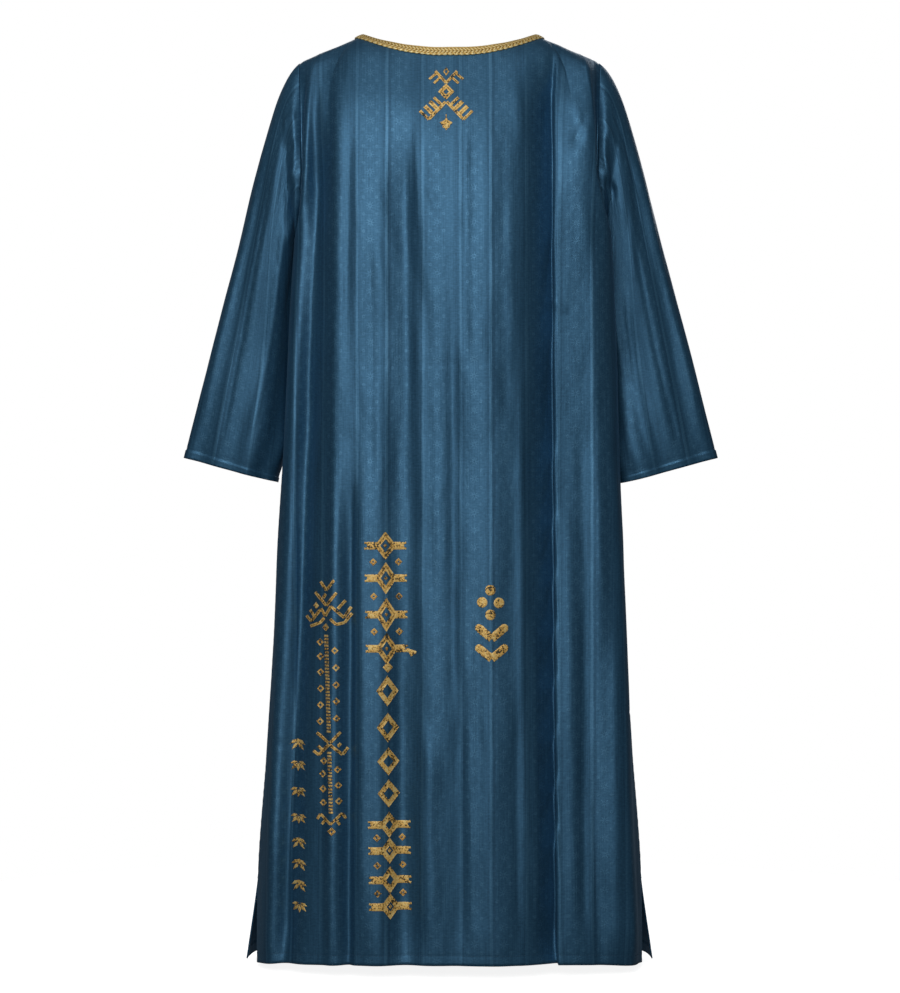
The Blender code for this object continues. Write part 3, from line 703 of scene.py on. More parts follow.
satin = {
    "dark": "#173b54",
    "light": "#588aab",
    "middle": "#376787",
    "sheen": "#7fa6c4",
    "roughness": 0.49,
    "stripeShine": -0.30,  # how much rougher a light stripe is
    "stripeRelief": 0.55,  # millimetres
    "repeat": 146.5,  # millimetres from one strong stripe to the next
    "firstStripe": -88.5,
    "starColumns": (17.5, 71.0, 123.0),
    "starPitch": 24.0,
    "starReach": 6.2,
    "starThread": 2.42,
    "starHeart": 1.43,
    "starTone": 0.15,
    "starShine": -0.05,
    "starRelief": 0.05,
    # Large stars and the small ones between: share of the pitch down, aside, reach and thread
    "stars": ((0.0, 0.0, 1.0, 1.0), (0.5, 9.5, 0.45, 0.7)),
    # Slubs 1 mm wide and some 80 mm long, short breaks of the weft, clouds and crumples: scale on each
    # axis, detail, share in the colour, relief in millimetres
    "noise": (
        ((760, 12, 1), 3, 0.5, 0.10),
        ((190, 420, 1), 2, 0.5, 0.05),
        ((26, 9, 1), 4, 0.22, 0),
        ((60, 22, 1), 5, 0, 0.9),
    ),
}

# One repeat of the woven stripe: millimetres across, and how light the band is
stripeTones = (
    (0, 0.66), (1.8, 0.64), (3, 0.37), (5.2, 0.35), (7.4, 0.47), (9, 0.50), (33, 0.50), (36, 0.44),
    (46, 0.43), (48, 0.37), (49.6, 0.60), (52.2, 0.61), (53.6, 0.47), (92, 0.50), (95, 0.44), (101, 0.40),
    (102.6, 0.60), (105.4, 0.59), (106.8, 0.41), (110, 0.50), (137, 0.49), (141, 0.43), (143.6, 0.40),
    (145, 0.63), (146.5, 0.66),
)


def addStars(tree, across, down):
    # eight-pointed stars in columns, as a value of 1 on their threads; places are in millimetres
    offsets = [calc(tree, "SUBTRACT", across, column) for column in satin["starColumns"]]
    offsets = [calc(tree, "ABSOLUTE", offset) for offset in offsets]
    nearest = calc(tree, "MINIMUM", calc(tree, "MINIMUM", offsets[0], offsets[1]), offsets[2])
    turn = calc(tree, "DIVIDE", down, satin["starPitch"])
    stars = []
    for shift, aside, reach, thread in satin["stars"]:
        side = calc(tree, "SUBTRACT", nearest, aside)
        rise = calc(tree, "SUBTRACT", calc(tree, "FRACT", calc(tree, "ADD", turn, shift)), 0.5)
        rise = calc(tree, "MULTIPLY", rise, satin["starPitch"])
        square = calc(tree, "MULTIPLY_ADD", side, side, calc(tree, "MULTIPLY", rise, rise))
        radius = calc(tree, "SQRT", square)
        angle = calc(tree, "MULTIPLY", calc(tree, "ARCTAN2", rise, side), 4.0)
        ray = calc(tree, "MULTIPLY", radius, calc(tree, "ABSOLUTE", calc(tree, "SINE", angle)))
        thin = calc(tree, "LESS_THAN", ray, satin["starThread"] * thread)
        near = calc(tree, "LESS_THAN", radius, satin["starReach"] * reach)
        apart = calc(tree, "GREATER_THAN", radius, satin["starHeart"] * reach)
        stars.append(calc(tree, "MULTIPLY", thin, calc(tree, "MULTIPLY", near, apart)))
    return calc(tree, "MAXIMUM", stars[0], stars[1])


def makeSatin():
    # Jacquard satin: long warp floats give a soft sheen down the cloth, and the stripes and stars are
    # the same thread turned over, so they show by lustre more than by colour.
    sheen = {"Sheen Weight": 0.12, "Sheen Roughness": 0.4, "Sheen Tint": linear(satin["sheen"])}
    material, tree, principled = newMaterial("jacquardSatin", {"Metallic": 0.6, **sheen})
    grain = addNode(tree, "ShaderNodeUVMap", uv_map="grain").outputs["UV"]
    axes = addNode(tree, "ShaderNodeSeparateXYZ", {0: grain})
    across, down = [calc(tree, "DIVIDE", axes.outputs[axis], mm) for axis in "XY"]
    shifted = calc(tree, "SUBTRACT", across, satin["firstStripe"])
    phase = calc(tree, "FRACT", calc(tree, "DIVIDE", shifted, satin["repeat"]))
    tone = addRamp(tree, phase, [(place / satin["repeat"], value) for place, value in stripeTones])
    star = addStars(tree, calc(tree, "MULTIPLY", phase, satin["repeat"]), down)
    level, height = tone, calc(tree, "MULTIPLY", tone, satin["stripeRelief"])
    for stretch, detail, inColour, relief in satin["noise"]:
        noise = addNoise(tree, grain, 1.0, detail, stretch)
        level = addWeighted(tree, level, (noise, 0.5, inColour))
        height = addWeighted(tree, height, (noise, 0.0, relief))
    level = addWeighted(tree, level, (star, 0.0, satin["starTone"]))
    height = addWeighted(tree, height, (star, 0.0, satin["starRelief"]))
    rough = addWeighted(
        tree, satin["roughness"], (tone, 0.5, satin["stripeShine"]), (star, 0.0, satin["starShine"]),
    )
    tree.links.new(rough, principled.inputs["Roughness"])
    colour = addRamp(tree, level, [(0.0, satin["dark"]), (0.5, satin["middle"]), (1.0, satin["light"])])
    addLooks(tree, principled, colour, height)
    return material


gold = {
    "light": "#ffe296",
    "middle": "#f8c160",
    "dark": "#454233",
    "shade": "#b4853f",
}


def makeGold(name, middle, light, worn):
    # Gold metal thread, laid in close satin stitch: lighter specks painted in as a broken glitter, a painted
    # highlight, with dark gaps where it has worn
    material, tree, principled = newMaterial(name, {"Metallic": 0.25, "Roughness": 0.5})
    where = addNode(tree, "ShaderNodeTexCoord").outputs["Object"]
    speck, patch = addNoise(tree, where, 420.0, 3.0), addNoise(tree, where, 120.0, 2.0)
    level = addWeighted(tree, 0.0, (speck, 0.0, 0.62), (patch, 0.0, 0.38))
    # the light stops are painted glitter; the dark stops are the worn gaps
    stops = [(0.0, gold["dark"]), (worn, gold["dark"]), (worn + 0.05, middle), (0.62, light), (1.0, light)]
    slant = {"Vector": where, "Rotation": (0.0, math.radians(38.0), 0.0)}
    turned = addNode(tree, "ShaderNodeMapping", slant).outputs[0]
    thread = {"Vector": turned, "Scale": 150.0, "Distortion": 1.5, "Detail": 1.0}
    stitches = addNode(tree, "ShaderNodeTexWave", thread, bands_direction="X").outputs["Fac"]
    height = addWeighted(tree, 0.0, (stitches, 0.0, 0.16), (speck, 0.0, 0.4))
    addLooks(tree, principled, addRamp(tree, level, stops), height)
    return material


def makeBraidGold():
    # Woven lurex braid: painted highlight along the tops of the strands and painted shade, brown, down
    # between them, both read from the strand height
    material, tree, principled = newMaterial("wovenLurexBraid", {"Metallic": 0.35, "Roughness": 0.45})
    relief = addNode(tree, "ShaderNodeAttribute", attribute_name="relief").outputs["Fac"]
    speck = addNoise(tree, addNode(tree, "ShaderNodeTexCoord").outputs["Object"], 700.0, 2.0)
    level = addWeighted(tree, relief, (speck, 0.5, 0.5))
    stops = [(0.0, "#6e5228"), (0.35, "#c0974c"), (0.65, "#f0c972"), (1.0, "#fff0b8")]
    addLooks(tree, principled, addRamp(tree, level, stops), speck, 0.8, 0.2 * mm)
    return material


def makeThread():
    # Polyester sewing thread, a shade off the cloth
    material, tree, principled = newMaterial("sewingThread", {"Roughness": 0.55})
    twist = {"Vector": addNode(tree, "ShaderNodeTexCoord").outputs["Object"], "Scale": 900.0}
    wave = addNode(tree, "ShaderNodeTexWave", twist, bands_direction="DIAGONAL").outputs["Fac"]
    addLooks(tree, principled, addRamp(tree, wave, [(0.0, "#1b384e"), (1.0, "#3f6a88")]))
    return material


satinMaterial = makeSatin()
goldMaterial = makeGold("goldMetalThread", gold["middle"], gold["light"], 0.42)
# a darker copy of the gold, painted shade for sunk lines and shaded dots
goldShadeMaterial = makeGold("goldMetalThreadShade", gold["shade"], gold["middle"], 0.44)
braidMaterial = makeBraidGold()
threadMaterial = makeThread()
print("materials are made")


# Objects

def pick(obj):
    bpy.ops.object.select_all(action="DESELECT")
    obj.select_set(True)
    bpy.context.view_layer.objects.active = obj


def applyAll(obj):
    pick(obj)
    for modifier in list(obj.modifiers):
        bpy.ops.object.modifier_apply(modifier=modifier.name)


def weld(obj, reach, outward=False):
    # joins the ends of a closed form
    pick(obj)
    bpy.ops.object.mode_set(mode="EDIT")
    bpy.ops.mesh.select_all(action="SELECT")
    bpy.ops.mesh.remove_doubles(threshold=reach * mm)
    if outward:
        bpy.ops.mesh.normals_make_consistent(inside=False)
    bpy.ops.object.mode_set(mode="OBJECT")


def addPiece(obj, slot, *nodes):
    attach(obj, "root")
    if nodes:
        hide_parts(*nodes)


cloth = {
    "wall": 0.9,
    "hemWall": 1.9,
    "allowance": 20.0,  # seam allowance and turned hem, added to a sheet's width and to its length
}


def gridObject(name, points, grain, flip):
    # a primitive grid whose rows and columns are laid on the worked-out points
    rows, columns = points.shape[:2]
    bpy.ops.object.select_all(action="DESELECT")
    bpy.ops.mesh.primitive_grid_add(x_subdivisions=columns - 1, y_subdivisions=rows - 1, size=1.0)
    obj = bpy.context.active_object
    obj.name = obj.data.name = name
    obj.data.vertices.foreach_set("co", (points * mm).ravel())
    if flip:
        obj.data.flip_normals()
    layer = obj.data.uv_layers.active
    layer.name = "grain"
    corners = np.empty(len(obj.data.loops), dtype=int)
    obj.data.loops.foreach_get("vertex_index", corners)
    flat = np.stack([grain[0].ravel(), -grain[1].ravel()], axis=1) * mm
    layer.data.foreach_set("uv", flat[corners].ravel())
    obj.data.shade_smooth()
    obj.data.update()
    return obj


def makeCloth(name, points, grain, flip, hem, node, join=0.0):
    # the cloth and its bare surface; its thickness grows inwards, and more where the hem is turned
    obj = gridObject(name, points, grain, flip)
    obj.data.materials.append(satinMaterial)
    faces = [face.vertices[:] for face in obj.data.polygons]
    surface = BVHTree.FromPolygons([vertex.co for vertex in obj.data.vertices], faces)
    group = obj.vertex_groups.new(name="hem")
    group.add([int(i) for i in np.flatnonzero(hem.ravel())], 1.0, "REPLACE")
    if join:
        weld(obj, join)
    wall = obj.modifiers.new("wall", "SOLIDIFY")
    wall.thickness = cloth["hemWall"] * mm
    wall.offset = -1.0
    wall.use_even_offset = False
    wall.vertex_group = group.name
    wall.thickness_vertex_group = cloth["wall"] / cloth["hemWall"]
    applyAll(obj)
    addPiece(obj, "blue_satin", node)
    return obj, surface


def makePanel(name, panel, node):
    points = panel["points"]
    hem = np.zeros(points.shape[:2], dtype=bool)
    hem[-len(mesh["hemSteps"]) + 2 :] = True
    hem |= (panel["edge"] < cut["hemTurn"]) & (-points[..., 2] > cut["slitTopDrop"])
    return makeCloth(name, points, panel["grain"], panel["facing"] < 0, hem, node)


def makeSleeve(name, side, form, node):
    points = form["points"] * (-1.0 if side == "left" else 1.0, 1.0, 1.0)
    hem = np.zeros(points.shape[:2], dtype=bool)
    hem[1 - len(sleeve["cuffRows"]) :] = True
    return makeCloth(name, points, form["grain"], side == "right", hem, node, 0.02)[0]


backPanel = drapedPanel("back")
frontPanel = drapedPanel("front")
backCloth, backTree = makePanel("backCloth", backPanel, "back_panel")
frontCloth, frontTree = makePanel("frontCloth", frontPanel, "front_panel")
print("panels are draped")

armhole = armholeLine(backPanel, frontPanel)
leftSleeve = drapedSleeve("left", armhole)
rightSleeve = drapedSleeve("right", armhole)
sleeveLeftCloth = makeSleeve("sleeveLeftCloth", "left", leftSleeve, "sleeve_left")
sleeveRightCloth = makeSleeve("sleeveRightCloth", "right", rightSleeve, "sleeve_right")
print("sleeves are set in")


# The braid round the neck

braid = {
    "width": 14.5,
    "aboveEdge": 1.0,
    "underOff": 0.15,  # under side and face off the cloth
    "faceOff": 0.6,
    "thick": 1.3,
    "edgeShare": 0.35,  # thickness at the edges
    "stations": 440,  # round each half of the neck
    "across": 16,
    "strandPitch": 7.6,
    "strandHigh": 0.7,
    "strand": (1.5, 2.6),  # turns along one pitch, and across the braid
    "rope": (2.0, 6.0),
    "scallop": 1.1,
    "scallopStart": 0.2,
    "bands": (0.2, 0.55, 0.84),  # foot of the rope, ridge between the strands, top of the scalloped foot
    "groove": 0.7,
    "grooveWides": (0.035, 0.03, 0.03),
}


def neckStations(side):
    points, ways = [], []
    for step in range(braid["stations"] + 1):
        share = math.cos(math.pi * step / braid["stations"])
        angle = abs(math.asin(share)) / (math.pi / 2)
        point, way = topEdge(side, cut["neckShare"][side] * angle)
        mirror = np.array([-1.0 if share < 0 else 1.0, facings[side], 1.0])
        points.append(point * mirror)
        ways.append(way * mirror)
    return np.array(points), np.array(ways)


def nearestCloth(point):
    found = [tree.find_nearest(Vector(point * mm)) for tree in (backTree, frontTree)]
    place, normal = min(found, key=lambda hit: hit[3])[:2]
    return np.array(place) / mm, np.array(normal)


def braidRelief(along, across):
    # 0 to 1 over the braid: a rope along the top, two rows of slanting strands, a scalloped foot
    phase = along / braid["strandPitch"]
    ropeFoot, ridge, scallopTop = braid["bands"]
    slant = np.where(across < ridge, across, 2 * ridge - across)
    strand = np.abs(np.sin(math.pi * (phase * braid["strand"][0] + slant * braid["strand"][1])))
    rope = np.abs(np.sin(math.pi * (phase * braid["rope"][0] + across * braid["rope"][1]))) * 0.5 + 0.5
    foot = np.abs(np.sin(math.pi * (phase + braid["scallopStart"]))) * 0.6 + 0.4
    relief = np.where(across < ropeFoot, rope, np.where(across > scallopTop, foot, strand))
    groove = sum(bell(across - band, wide) for band, wide in zip(braid["bands"], braid["grooveWides"]))
    return np.clip(relief - braid["groove"] * groove, 0.0, 1.0)


def makeBraid():
    backPoints, backWays = neckStations("back")
    frontPoints, frontWays = neckStations("front")
    points = np.concatenate([backPoints[:-1], frontPoints[::-1][:-1]])
    ways = np.concatenate([backWays[:-1], frontWays[::-1][:-1]])
    tangents = unit(np.roll(points, -1, axis=0) - np.roll(points, 1, axis=0))
    along = runOf(np.concatenate([points, points[:1]]))[:-1]
    total = along[-1] + np.linalg.norm(points[0] - points[-1])
    along *= round(total / braid["strandPitch"]) * braid["strandPitch"] / total
    aways = unit(ways - np.sum(ways * tangents, axis=1, keepdims=True) * tangents)
    shares = np.linspace(0.0, 1.0, braid["across"] + 1)
    rows, paintedStrandShading = [], []
    for i, (point, away) in enumerate(zip(points, aways)):
        out = np.cross(tangents[i], away)
        out *= math.copysign(1.0, out[2])
        phase = along[i] / braid["strandPitch"] + braid["scallopStart"]
        foot = braid["scallop"] * abs(math.sin(math.pi * phase))
        wide = braid["width"] - braid["scallop"] + foot
        face, under = [], []
        relief = braidRelief(np.full_like(shares, along[i]), shares)
        for k, share in enumerate(shares):
            guess = point + away * (share * wide - braid["aboveEdge"])
            seat, normal = nearestCloth(guess)
            beyond = braid["aboveEdge"] - share * wide
            if beyond > 0:
                seat = seat - away * beyond
                normal = out
            edge = math.sqrt(max(0.0, 1.0 - abs(2 * share - 1) ** 6))
            rise = braid["thick"] * mix(braid["edgeShare"], 1.0, edge)
            rise += braid["strandHigh"] * relief[k] * edge
            under.append(seat + normal * braid["underOff"])
            face.append(seat + normal * (braid["faceOff"] + rise))
        rows.append(face + under[::-1])
        # the strand heights, and a low value on the under side, colour the braid as painted highlight and
        # painted shade
        paintedStrandShading.append(list(relief) + [0.1] * len(shares))
    rows, paintedStrandShading = np.array(rows + rows[:1]), np.array(paintedStrandShading + paintedStrandShading[:1])
    rows, paintedStrandShading = [np.concatenate([grid, grid[:, :1]], axis=1) for grid in (rows, paintedStrandShading)]
    grain = np.indices(paintedStrandShading.shape)[::-1].astype(float)
    obj = gridObject("neckBraidWoven", rows, grain, False)
    relief = obj.data.attributes.new("relief", "FLOAT", "POINT")
    relief.data.foreach_set("value", paintedStrandShading.ravel().astype(np.float32))
    obj.data.materials.append(braidMaterial)
    weld(obj, 0.01, outward=True)
    addPiece(obj, "gold_braid", "neck_braid")
    return obj


neckBraid = makeBraid()
print("the braid is sewn on")


# Embroidery, designed flat and then laid on the back panel

embroidery = {
    "lift": 0.45,
    "raise": 0.45,
    "edge": 0.16,  # share of a form's width
    "groove": 0.20,
    "grooveDepth": 0.27,
    "back": 0.35,
    "finest": 3.2,  # longest edge, so that a form bends with the cloth
}


def startDesign(name):
    bpy.ops.object.select_all(action="DESELECT")
    bpy.ops.mesh.primitive_plane_add(size=1.0)
    obj = bpy.context.active_object
    obj.name = obj.data.name = name
    obj.data.materials.append(goldMaterial)
    obj.data.materials.append(goldShadeMaterial)
    bpy.ops.object.mode_set(mode="EDIT")
    bpy.ops.mesh.delete(type="VERT")
    return obj


facingBack = (math.pi / 2, 0.0, 0.0)  # turns a flat primitive to face -Y


def place3(x, drop):
    return (x * mm, 0.0, -drop * mm)


def raiseThread(wide, groove=True):
    # the selected faces stand up inside their edge, with a sunk line down the middle that takes the darker
    # gold copy as painted shade
    bpy.ops.mesh.inset(thickness=wide * embroidery["edge"] * mm, depth=embroidery["raise"] * mm)
    if groove:
        depth = -embroidery["grooveDepth"] * mm
        bpy.ops.mesh.inset(thickness=wide * embroidery["groove"] * mm, depth=depth)
        shadeSelected()


def shadeSelected():
    # the selected faces take the darker gold copy, which is painted shade
    bpy.context.object.active_material_index = 1
    bpy.ops.object.material_slot_assign()
    bpy.context.object.active_material_index = 0


def addForm(x, drop, wide, tall, corners=4, fill="NGON", turn=0.0):
    # a flat form, selected alone: half its width and height, or all of them if it has no corner count
    bpy.ops.mesh.select_all(action="DESELECT")
    placed = {"location": place3(x, drop), "rotation": facingBack}
    if corners:
        bpy.ops.mesh.primitive_circle_add(vertices=corners, radius=mm, fill_type=fill, **placed)
    else:
        bpy.ops.mesh.primitive_plane_add(size=mm, **placed)
    centre = placed["location"]
    bpy.ops.transform.resize(value=(wide, 1.0, tall), center_override=centre)
    if turn:
        bpy.ops.transform.rotate(value=turn, orient_axis="Y", center_override=centre)


def spanOf(start, end):
    # middle, length and slant of a stroke
    wide, fall = end[0] - start[0], end[1] - start[1]
    return (start[0] + end[0]) / 2, (start[1] + end[1]) / 2, math.hypot(wide, fall), math.atan2(-fall, wide)


def bar(start, end, wide, groove=True):
    x, drop, length, slant = spanOf(start, end)
    addForm(x, drop, length, wide, corners=0, turn=slant)
    raiseThread(wide, groove)


def leaf(start, end, wide):
    # a pointed leaf from its stalk to its tip
    x, drop, length, slant = spanOf(start, end)
    addForm(x, drop, length / 2, wide / 2, turn=slant)
    raiseThread(wide * 0.7, False)


def ring(x, drop, halfWide, halfTall, hole, groove=True):
    addForm(x, drop, halfWide, halfTall, fill="NOTHING")
    bpy.ops.mesh.extrude_region_move()
    bpy.ops.transform.resize(value=(hole, 1.0, hole), center_override=place3(x, drop))
    bpy.ops.mesh.select_linked()
    bpy.ops.mesh.flip_normals()
    raiseThread((1.0 - hole) * halfWide * halfTall / math.hypot(halfWide, halfTall), groove)


def lozenge(x, drop, halfWide, halfTall, shade=False):
    addForm(x, drop, halfWide, halfTall)
    # a shaded form takes the darker gold copy as painted shade
    if shade:
        shadeSelected()
    raiseThread(halfWide, False)


def disc(x, drop, radius):
    addForm(x, drop, radius, radius, corners=20, fill="TRIFAN")
    raiseThread(radius * 0.8, False)


def finishDesign(obj):
    # cut fine enough to bend, laid on the cloth, and given its thickness
    for _ in range(4):
        bpy.ops.mesh.select_all(action="DESELECT")
        bpy.ops.mesh.select_mode(type="EDGE")
        form = bmesh.from_edit_mesh(obj.data)
        long = [edge for edge in form.edges if edge.calc_length() > embroidery["finest"] * mm]
        if not long:
            break
        for edge in long:
            edge.select = True
        bpy.ops.mesh.subdivide(number_cuts=1)
    bpy.ops.mesh.select_all(action="SELECT")
    bpy.ops.mesh.quads_convert_to_tris()
    bpy.ops.object.mode_set(mode="OBJECT")
    reach = Vector((0.0, 1.0, 0.0))
    for vertex in obj.data.vertices:
        hit = backTree.ray_cast(Vector((vertex.co.x, -0.5, vertex.co.z)), reach)[0]
        vertex.co.y += hit.y - embroidery["lift"] * mm
    obj.location = (0.0, 0.0, 0.0)
    wall = obj.modifiers.new("wall", "SOLIDIFY")
    wall.thickness = embroidery["back"] * mm
    wall.offset = -1.0
    applyAll(obj)
    bpy.ops.object.shade_smooth_by_angle(angle=math.radians(50.0))
    addPiece(obj, "gold_braid")


# Motif at the neck: drops and reaches from its own centre line
neckMotif = {
    "x": -4.7,
    "thread": 4.2,
    "crown": (60.0, 4.4, 6.6, 0.5),  # ring: drop, half width and height, hole
    "eye": (90.0, 11.6, 12.2, 0.34),
    "veeDrop": 77.0,
    # bars of one half: aside and drop of each end, share of the thread's width
    "vee": ((0, 0, 15.4, -17.6, 1), (14.5, -13.5, 24, -5.5, 0.85), (8.6, -7.8, 17.4, 0.6, 0.85)),
    "wingDrop": 106.0,
    "wingReach": 24.5,
    "wingFoot": (0.8, -1.0),
    "wingThread": 1.1,
    "prongs": ((1.0, 4.2), (0.72, 6.0), (0.44, 6.0), (0.20, 4.2)),  # share down the wing, width
    "prongReach": 12.4,
    "sprig": (137.0, 6.4, 9.4),
    "sprigBars": ((0, -4.5, 8, -0.5, 4.0), (0, 2.5, 4.8, 4.5, 3.4)),
    "sprigStalk": (14.0, 6.0, 1.5),  # its ends above the sprig, and its width
}


def halfBars(rows, hand, x, drop, thread, groove):
    # the bars of one half, mirrored by hand
    for near, nearDrop, far, farDrop, wide in rows:
        bar((x + hand * near, drop + nearDrop), (x + hand * far, drop + farDrop), thread * wide, groove)


def makeNeckMotif():
    motif = neckMotif
    obj = startDesign("neckMotif")
    x, thread, wing, reach = motif["x"], motif["thread"], motif["wingDrop"], motif["wingReach"]
    ring(x, *motif["crown"])
    for hand in (-1, 1):
        halfBars(motif["vee"], hand, x, motif["veeDrop"], thread, True)
        foot = (x + hand * motif["wingFoot"][0], wing + motif["wingFoot"][1])
        bar(foot, (x + hand * reach, wing + reach), thread * motif["wingThread"])
        for share, wide in motif["prongs"]:
            foot = (x + hand * reach * share, wing + reach * share)
            bar(foot, (foot[0] + hand * motif["prongReach"], foot[1] - motif["prongReach"]), wide)
    ring(x, *motif["eye"])
    lozenge(x, *motif["sprig"])
    sprig = motif["sprig"][0]
    for hand in (-1, 1):
        halfBars(motif["sprigBars"], hand, x, sprig, 1.0, False)
    top, foot, wide = motif["sprigStalk"]
    bar((x, sprig - top), (x, sprig - foot), wide, False)
    finishDesign(obj)


# Column of lozenges: drop, half height, whether it has arms, whether its middle holds a dot
lozengeColumn = {
    "topX": -90.0,
    "footX": -82.4,
    "rows": (
        (730, 20, 1, 1), (775.5, 22.5, 1, 1), (826.5, 24, 1, 1), (874, 22.5, 1, 1), (933, 21.5, 0, 0),
        (984, 20.5, 0, 0), (1031, 19.5, 0, 0), (1075.5, 19.5, 0, 0), (1119, 18, 1, 0), (1155, 18, 1, 1),
        (1195.5, 19, 1, 0), (1232.5, 18, 1, 1),
    ),
    "halfWide": 15.4,
    "hole": 0.46,
    "dot": (2.6, 3.2),
    "lowerDrop": 1100,  # below it the lozenges are narrower and their band is wider
    "lowerWide": 0.88,
    "lowerHole": 0.38,
    "armFoot": 0.72,  # share of the half width
    "armReach": 29.5,
    "armTall": 10.6,
    "notch": 3.4,
    "tine": (0.22, 0.40, 0.28),  # start and end beside the arm's middle, and width, in arm heights
    "betweenAside": 17.6,
    "betweenHalf": 5.4,
    "betweenHole": 0.3,
    "betweenGap": 60,  # lozenges further apart have no diamonds between them
    "knot": (-86.4, 900, 7.0, 7.6),
    "loose": (((-60.5, 876), (-47.0, 880)), ((-55.5, 878), (-52.0, 884))),
    "looseWide": 5.0,
}


def makeLozengeColumn():
    motif = lozengeColumn
    obj = startDesign("lozengeColumn")
    rows = motif["rows"]
    topDrop, footDrop = rows[0][0], rows[-1][0]
    lastArmed = None
    near, far, tall, notch = [motif[key] for key in ("armFoot", "armReach", "armTall", "notch")]
    tineStart, tineEnd, tineWide = [tall * share for share in motif["tine"]]
    for drop, halfTall, armed, dotted in rows:
        x = mix(motif["topX"], motif["footX"], (drop - topDrop) / (footDrop - topDrop))
        lower = drop > motif["lowerDrop"]
        halfWide = motif["halfWide"] * (motif["lowerWide"] if lower else 1.0)
        hole = motif["lowerHole"] if lower else motif["hole"]
        ring(x, drop, halfWide, halfTall, hole, bool(armed) and not lower)
        if dotted:
            lozenge(x, drop, *motif["dot"], not lower)
        if not armed:
            continue
        for hand in (-1, 1):
            bar((x + hand * near * halfWide, drop), (x + hand * (far - notch), drop), tall, False)
            for side in (-1, 1):
                start = (x + hand * (far - 2 * notch), drop + side * tineStart)
                bar(start, (x + hand * far, drop + side * tineEnd), tineWide, False)
        if lastArmed is not None and drop - lastArmed < motif["betweenGap"]:
            half, middle = motif["betweenHalf"], (drop + lastArmed) / 2
            for hand in (-1, 1):
                ring(x + hand * motif["betweenAside"], middle, half, half, motif["betweenHole"])
        lastArmed = drop
    lozenge(*motif["knot"])
    for start, end in motif["loose"]:
        bar(start, end, motif["looseWide"], False)
    finishDesign(obj)


# Tree with a ladder stem. Each "at" is the drop whose place on the slanting stem a part follows, and the
# part's own drop. A stroke is x and rise of its two ends from there.
treeColumn = {
    "topX": -174.0,
    "footX": -165.5,
    "topDrop": 843.0,
    "footDrop": 1106.0,
    "thread": 4.2,
    "rungPitch": 4.6,
    "rung": (6.0, 3.0),
    "berryAt": (814, 815),
    "berry": (-13.5, 4.0, 5.0),  # x from the stem, half width and height
    "rings": ((844, 845, 4.8, 5.6, 0.3), (1129, 1129, 6.0, 6.0, 0.34)),  # at, half width and height, hole
    "sideRing": (5.4, 5.4, 0.42),
    "crownAt": (843, 843),
    "crown": (
        (-8, 62, 0.5, 50), (0.5, 50, 12, 64.5), (-16, 47, 0.5, 28.5), (0.5, 28.5, 15.5, 47),
        (-4, 39, -0.5, 45), (-29, 13, -22, 5.5), (-22, 5.5, -7, 24), (-7, 24, -1, 14), (-1, 14, 7.5, 28),
        (7.5, 28, 26, 12), (26, 12, 36, 27), (17.5, 24.5, 28, 36), (-23.5, 21.5, -18, 14),
        (-23, -1.5, -8, 4.5), (-8, 4.5, -2.5, 11), (6.5, 10, 15, 2.5), (15, 2.5, 27, 5), (27, 5, 37, 18),
    ),
    "stems": ((857.0, 993.0), (1020.0, 1106.0)),
    "sideRings": (
        (-9, 866), (-9.2, 886), (-9.5, 908), (-10, 931), (-11, 954), (-12, 977), (12, 877), (13, 901),
        (12.5, 925), (12, 948), (11.5, 972), (-10.5, 1050), (-10.8, 1071), (-11, 1090), (11, 1043),
        (11.2, 1065), (11.4, 1087), (-8.5, 1032),
    ),
    "crossAt": (1010, 1008),
    "cross": (
        (-18, 15, -1.5, 2), (1.5, 2, 16, 17), (0, 0, -15, -16), (-15, -16, -23, -10.5),
        (1, -0.5, 19, -14.5), (19, -14.5, 26.5, -5), (-16.5, -3.5, -10, -8.5), (16.5, 1.5, 12.5, -3),
    ),
    "footAt": (1106, 1112),
    "footThread": 0.9,
    "foot": (
        (-15.5, 5.5, -1, -7), (-1, -7, 15.5, 8), (-15.5, 5.5, -20, -1.5), (15.5, 8, 20.5, 0.5),
        (-8, -1, -13.5, -8.5), (8.5, -2, 12.5, -8),
    ),
}


def treeX(drop):
    motif = treeColumn
    share = (drop - motif["topDrop"]) / (motif["footDrop"] - motif["topDrop"])
    return mix(motif["topX"], motif["footX"], share)


def makeStrokes(make, rows, x, drop, wide):
    # a bar or a leaf for each row
    for startX, startUp, endX, endUp in rows:
        make((x + startX, drop - startUp), (x + endX, drop - endUp), wide)


def makeTreeColumn():
    motif = treeColumn
    obj = startDesign("treeColumn")
    thread = motif["thread"]
    for part, share in (("crown", 1.0), ("cross", 1.0), ("foot", motif["footThread"])):
        at, drop = motif[part + "At"]
        makeStrokes(bar, motif[part], treeX(at), drop, thread * share)
    for at, *form in motif["rings"]:
        ring(treeX(at), *form)
    at, drop = motif["berryAt"]
    aside, *halves = motif["berry"]
    lozenge(treeX(at) + aside, drop, *halves)
    wide, tall = motif["rung"]
    for top, foot in motif["stems"]:
        for step in range(int((foot - top) / motif["rungPitch"]) + 1):
            drop = top + step * motif["rungPitch"]
            bar((treeX(drop) - wide / 2, drop), (treeX(drop) + wide / 2, drop), tall, False)
    for aside, drop in motif["sideRings"]:
        ring(treeX(drop) + aside, drop, *motif["sideRing"], False)
    finishDesign(obj)


